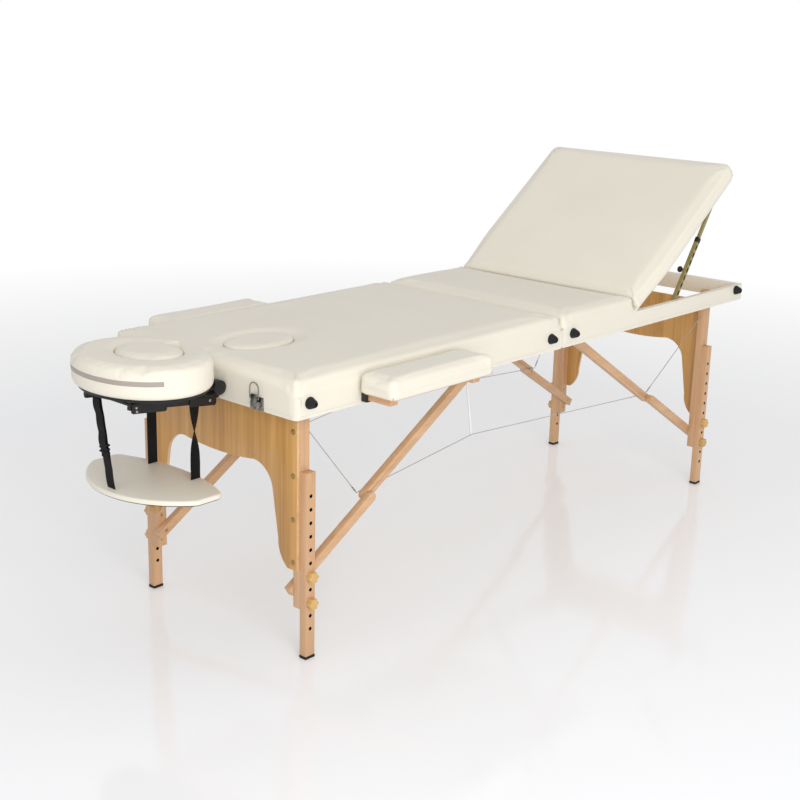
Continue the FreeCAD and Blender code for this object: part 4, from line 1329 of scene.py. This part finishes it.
@dataclass
class ArmShelf:
    """Half-moon arm shelf on webbing straps; the slider's sizes are in millimetres."""

    edge: float = 4.5 * MM
    cloth_down: float = 3 * MM
    width: float = 25 * MM
    thick: float = 2 * MM
    gap: float = 0.2 * MM
    lift: float = 80 * MM
    steps: int = 24
    inner_lane: float = 74 * MM
    inner_drop: float = 7 * MM
    pinch: float = 0.25
    outer_top: float = 40 * MM
    outer_foot: float = 2 * MM
    tail_off: float = 2.4 * MM
    slider_share: float = 0.56
    slider_off: float = 2 * MM
    slider_half: Point = (3, 16, 2)
    slider_pitch: float = 9.0

    def build(self) -> None:
        """Make the pieces."""
        board = eased("arm_shelf", "arm_shelf_board", self.edge, 4)
        upholster(board, "arm_shelf", "arm_shelf")
        low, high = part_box("arm_shelf")
        dark = (low.z + high.z) / 2 - self.cloth_down
        second_finish(board, STRAP, lambda face: face.center.z < dark)
        foot = high.z + self.gap
        for side in Side:
            self.inner(side, foot)
        self.outer(foot)

    def hang(self, name: str, bm: BMesh) -> None:
        """Dress a strap and give it a mesh of its own.

        Args:
            name: The strap's name.
            bm: Its mesh.
        """
        strap = dress(crisp(link_mesh(name, bm)), STRAP, "cradle_arms", ["shelf_straps"])
        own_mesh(strap)

    def inner(self, side: Side, foot: float) -> None:
        """Make a strap by the arms; the near one is twisted.

        Args:
            side: The strap's side.
            foot: Its lower end.
        """
        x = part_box("shelf_straps")[1].x - self.width / 2
        top = joint_point("cradle_arm_tilt").z - self.inner_drop
        twisted = side is Side.NEAR
        path, halves = [], []
        for step in range(self.steps + 1):
            share = step / self.steps
            turn = math.pi * ease(share) * twisted
            half = self.width / 2 * (1 - self.pinch * math.sin(math.pi * share) * twisted)
            path.append(Vector((x, side.value * self.inner_lane, top + (foot - top) * share)))
            halves.append(Vector((math.cos(turn), math.sin(turn), 0)) * half)
        bm = bmesh.new()
        add_ribbon(bm, path, halves, self.thick)
        self.hang(side.word + "_shelf_strap", bm)

    def outer(self, foot: float) -> None:
        """Make the leaning outer strap, doubled above its slider.

        Args:
            foot: Its lower end.
        """
        strap_low, strap_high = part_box("shelf_straps")
        x, top = strap_low.x + self.thick / 2, strap_high.z
        head, tip = Vector((x, self.outer_top, top)), Vector((x, self.outer_foot, foot))
        half = Vector((0, self.width / 2, 0))

        def run(first: float, last: float, off: float, wave: float) -> list[Vector]:
            """Return points down a stretch of the strap, off to the outside and with a slack wave."""
            shares = [first + (last - first) * step / self.steps for step in range(self.steps + 1)]
            sways = [wave * math.sin(math.pi * 5 * share) for share in shares]
            return [
                head.lerp(tip, share) + Vector((-off - abs(sway), sway * 0.6, 0))
                for share, sway in zip(shares, sways)
            ]

        bm = bmesh.new()
        path, tail = run(0.0, 1.0, 0.0, 0.8 * MM), run(0.02, 0.66, self.tail_off, 2.5 * MM)
        add_ribbon(bm, path, [half] * len(path), self.thick)
        add_ribbon(bm, tail, [half * 0.95] * len(tail), self.thick * 0.8)
        slider = head.lerp(tip, self.slider_share) - Vector((self.slider_off, 0, 0))
        size = Vector(self.slider_half) * MM
        for bar in (-1, 0, 1):
            spot = slider + Vector((0, 0, bar * self.slider_pitch * MM))
            round_edges(bm, edges_of(add_block(bm, spot - size, spot + size)), 1 * MM)
        self.hang("outer_shelf_strap", bm)


@dataclass
class Armrest:
    """One armrest: padded board on two bars."""

    side: Side
    voxel: float = 4.5 * MM
    bar_edge: float = 1 * MM
    swell_up: float = 3 * MM
    skirt: float = 8.4 * MM
    inset: float = 1 * MM
    edge: float = 12 * MM
    corner: float = 14 * MM
    fade: float = 12 * MM

    def build(self) -> None:
        """Make the pieces."""
        body = self.side.word + "_armrest"
        bars = eased(body + "_frame", body + "_bars", self.bar_edge)
        dress(bars, BEECH_ACROSS, body, [body + "_frame"])
        low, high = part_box(body + "_pad")
        pad = Cushion(body + "_cover", self.voxel)
        pad.block(
            (low.x + self.inset, low.y + self.inset, low.z - self.skirt),
            (high.x - self.inset, high.y - self.inset, high.z - self.swell_up),
            self.edge, (self.edge, self.edge), (self.corner, self.corner),
        )
        cover = pad.made(self.swell_up, free_above(low.z, self.fade))
        upholster(cover, body, body + "_pad")


@dataclass
class RailFittings:
    """Bumpers, handles, latches, sockets, hinges and cables; routes and outlines are in millimetres."""

    loop_wire: float = 1.3 * MM
    loop_ease: float = 2 * MM
    cable: float = 1 * MM
    cable_lane: float = 202.4
    post_lane: float = 248.7
    ferrule: tuple[float, float] = (9 * MM, 27 * MM)
    elastic: float = 2.6 * MM
    elastic_lane: float = 199.2
    gather: float = 45.0
    folded: float = 0.04
    bumper_out: float = 0.8 * MM
    bumper_half: float = 14 * MM
    bumper_crease: float = 50.0
    bumper: Outline = (
        (0, 14.5), (2.6, 14.5), (3.0, 19.0), (4.6, 19.2), (6.6, 18.0), (8.4, 15.2), (12.4, 4.2), (13.2, 2.6),
        (13.2, 0), (0, 0),
    )

    def build(self) -> None:
        """Make the pieces."""
        plan = (
            ("head_handle", BLACK, Slot.PLASTIC, "head_half", 3.0),
            ("foot_handle", BLACK, Slot.PLASTIC, "foot_half", 3.0),
            ("armrest_sockets", BLACK, Slot.PLASTIC, "head_half", 1.5),
            ("head_hardware", LATCH, Slot.STEEL, "head_half", 0.4),
            ("foot_hardware", STEEL, Slot.STEEL, "foot_half", 0.4),
            ("near_latch_lever", LATCH, Slot.STEEL, "near_latch_lever", 0.6),
            ("far_latch_lever", LATCH, Slot.STEEL, "far_latch_lever", 0.6),
            ("fold_links", STEEL, Slot.STEEL, "fold_links", 0.4),
        )
        for node, finish, slot, body, width in plan:
            stand_in(node, "_eased", width * MM, finish, body)
        for end in End:
            self.bumpers(end)
        for side in Side:
            self.loop(side)
            self.cables(side)

    def loop(self, side: Side) -> None:
        """Make a latch's bent wire loop.

        Args:
            side: The latch's side.
        """
        node = side.word + "_latch_loop"
        low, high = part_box(node)
        middle = (low + high) / 2
        half = (high.y - low.y) / 2 - self.loop_wire + self.loop_ease
        top = high.z - self.loop_wire - half + self.loop_ease
        turns = np.linspace(0, math.pi, 13)
        arch = [Vector((middle.x, middle.y + half * math.cos(t), top + half * math.sin(t))) for t in turns]
        feet = [Vector((middle.x, middle.y + way * half, low.z + self.loop_wire)) for way in (1, -1)]
        bm = bmesh.new()
        add_wire(bm, [feet[0], *arch, feet[1], feet[0]], self.loop_wire)
        dress(crisp(link_mesh(node + "_wire", bm)), LATCH, node, [node])

    def cables(self, side: Side) -> None:
        """Make a leg cable in two lengths that meet at the fold, and the elastic that lifts it.

        Args:
            side: The cable's side.
        """
        low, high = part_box("head_frame")
        origin = Vector((high.x, 0, low.z))

        def at(x: float, y: float, z: float) -> Vector:
            """Return a point given from the fold, the table's middle and the rail's underside."""
            return origin + Vector((x, side.value * y, z)) * MM

        def gathered(name: str, bm: BMesh, finish: Finish, body: str) -> None:
            """Dress a length and give it a mesh of its own."""
            piece = dress(crisp(link_mesh(name, bm)), finish, body, ["leg_cables"])
            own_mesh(piece)

        lane, post, band = self.cable_lane, self.post_lane, self.elastic_lane
        lift, middle = at(-217, lane, -205), at(0, lane, -218.8)
        lengths = {
            End.HEAD: [at(-838, post, -45), at(-633.2, lane, -255.9), lift, middle],
            End.FOOT: [middle, at(586.2, lane, -255.9), at(791, post, -45)],
        }
        for end, points in lengths.items():
            bm = bmesh.new()
            add_wire(bm, points, self.cable, 8)
            before, bend, after = points[:3]
            for other in (before, after):
                away = (other - bend).normalized()
                add_wire(bm, [bend + away * reach for reach in self.ferrule], 2 * self.cable)
            gathered("%s_%s_cable" % (end.word, side.word), bm, WIRE, end.word + "_half")
        bm = bmesh.new()
        add_wire(bm, [at(-217, band, -208), at(-217.6, band, -204), at(-261, band, 45)], self.elastic)
        gathered(side.word + "_elastic", bm, ELASTIC, "head_half")

    def bumpers(self, end: End) -> None:
        """Make the cone bumpers of one half, each with a screw recess.

        Args:
            end: The half's end.
        """
        node = end.word + "_bumpers"
        low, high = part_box(node)
        face = -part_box("head_frame")[1].y - self.bumper_out
        bm = bmesh.new()
        for x in (low.x + self.bumper_half, high.x - self.bumper_half):
            add_lathe(bm, self.bumper, Vector((x, face, (low.z + high.z) / 2)), Vector((0, -1, 0)), 40)
        cones = crisp(link_mesh(node + "_cones", bm), self.bumper_crease)
        dress(cones, BLACK_RUBBER, end.word + "_half", [node])


@dataclass(frozen=True)
class Camera:
    """Camera fitted to the photograph."""

    place: Point = (-2.6157, -2.2407, 1.3913)
    azimuth: float = math.radians(-48.034)
    elevation: float = math.radians(16.149)
    roll: float = math.radians(1.448)
    lens: float = 61.06
    sensor: float = 36.0
    clip: float = 100.0

    def build(self) -> None:
        """Make the camera and set it as the scene's."""
        level, rise = math.cos(self.elevation), math.sin(self.elevation)
        back = Vector((math.sin(self.azimuth) * level, -math.cos(self.azimuth) * level, rise))
        right = (-back).cross(Vector((0, 0, 1))).normalized()
        up = right.cross(-back)
        c, s = math.cos(self.roll), math.sin(self.roll)
        turn = Matrix((c * right + s * up, -s * right + c * up, back)).transposed().to_4x4()
        data = bpy.data.cameras.new("camera")
        data.lens = self.lens
        data.sensor_width = self.sensor
        data.clip_end = self.clip
        camera = link_object("camera", data)
        camera.matrix_world = Matrix.Translation(self.place) @ turn
        bpy.context.scene.camera = camera


@dataclass(frozen=True)
class Studio:
    """Floor, white background and soft light."""

    reach: float = 12.0
    fade: float = 4.5
    sky: float = 0.68
    glow: float = 0.1
    lamp_place: Point = (-3.0, -4.2, 1.9)
    lamp_aim: Point = (0, 0, 0.5)
    lamp_size: float = 3.6
    lamp_power: float = 165.0

    def build(self) -> None:
        """Make the stage."""
        self.floor()
        self.world()
        self.lamp()

    def floor(self) -> None:
        """Make the pale glossy floor, which fades out far from the table."""
        bm = bmesh.new()
        bmesh.ops.create_grid(bm, x_segments=1, y_segments=1, size=self.reach)
        floor = link_mesh("floor", bm)
        tree = NodeTree("floor_gloss")
        tree.constants(Base_Color=(0.93, 0.935, 0.955, 1), Roughness=0.1, Specular_IOR_Level=0.6)
        path = tree.add("ShaderNodeLightPath")
        glow = tree.combine("MULTIPLY", path.outputs["Is Camera Ray"], self.glow)
        tree.link(glow, tree.inputs["Emission Strength"])
        ball = tree.texture("Gradient", tree.space((1 / self.fade,) * 3), gradient_type="SPHERICAL")
        tree.drive("Alpha", ball, 0.0, 1.0, (0.05, 0.62))
        floor.data.materials.append(tree.material)

    def world(self) -> None:
        """Light the scene from a plain sky that the camera sees as white."""
        world = bpy.data.worlds.new("studio")
        world.use_nodes = True
        nodes, links = world.node_tree.nodes, world.node_tree.links
        dim, white = nodes["Background"], nodes.new("ShaderNodeBackground")
        for background in (dim, white):
            background.inputs["Color"].default_value = (1, 1, 1, 1)
        dim.inputs["Strength"].default_value = self.sky
        path, mix = nodes.new("ShaderNodeLightPath"), nodes.new("ShaderNodeMixShader")
        sources = (path.outputs["Is Camera Ray"], dim.outputs[0], white.outputs[0])
        for source, target in zip(sources, mix.inputs):
            links.new(source, target)
        links.new(mix.outputs[0], nodes["World Output"].inputs["Surface"])
        bpy.context.scene.world = world

    def lamp(self) -> None:
        """Add a soft square lamp aimed at the table, which leaves no bright square in the floor."""
        data = bpy.data.lights.new("key", "AREA")
        data.size = self.lamp_size
        data.energy = self.lamp_power
        lamp = link_object("key", data)
        lamp.location = self.lamp_place
        aim = Vector(self.lamp_aim) - Vector(self.lamp_place)
        lamp.rotation_euler = aim.to_track_quat("-Z", "Y").to_euler()
        lamp.visible_glossy = False


def main() -> None:
    """Dress the frame and set the stage."""
    logging.basicConfig(level=logging.INFO)
    bpy.context.scene.view_settings.view_transform = "Standard"
    pieces = [TableTop(), Backrest(), LegSet(End.HEAD), LegSet(End.FOOT), FaceCradle(), ArmShelf()]
    pieces += [Armrest(Side.NEAR), Armrest(Side.FAR), RailFittings(), Camera(), Studio()]
    for piece in pieces:
        LOG.info("building %s", type(piece).__name__)
        piece.build()


if __name__ == "__main__":
    main()
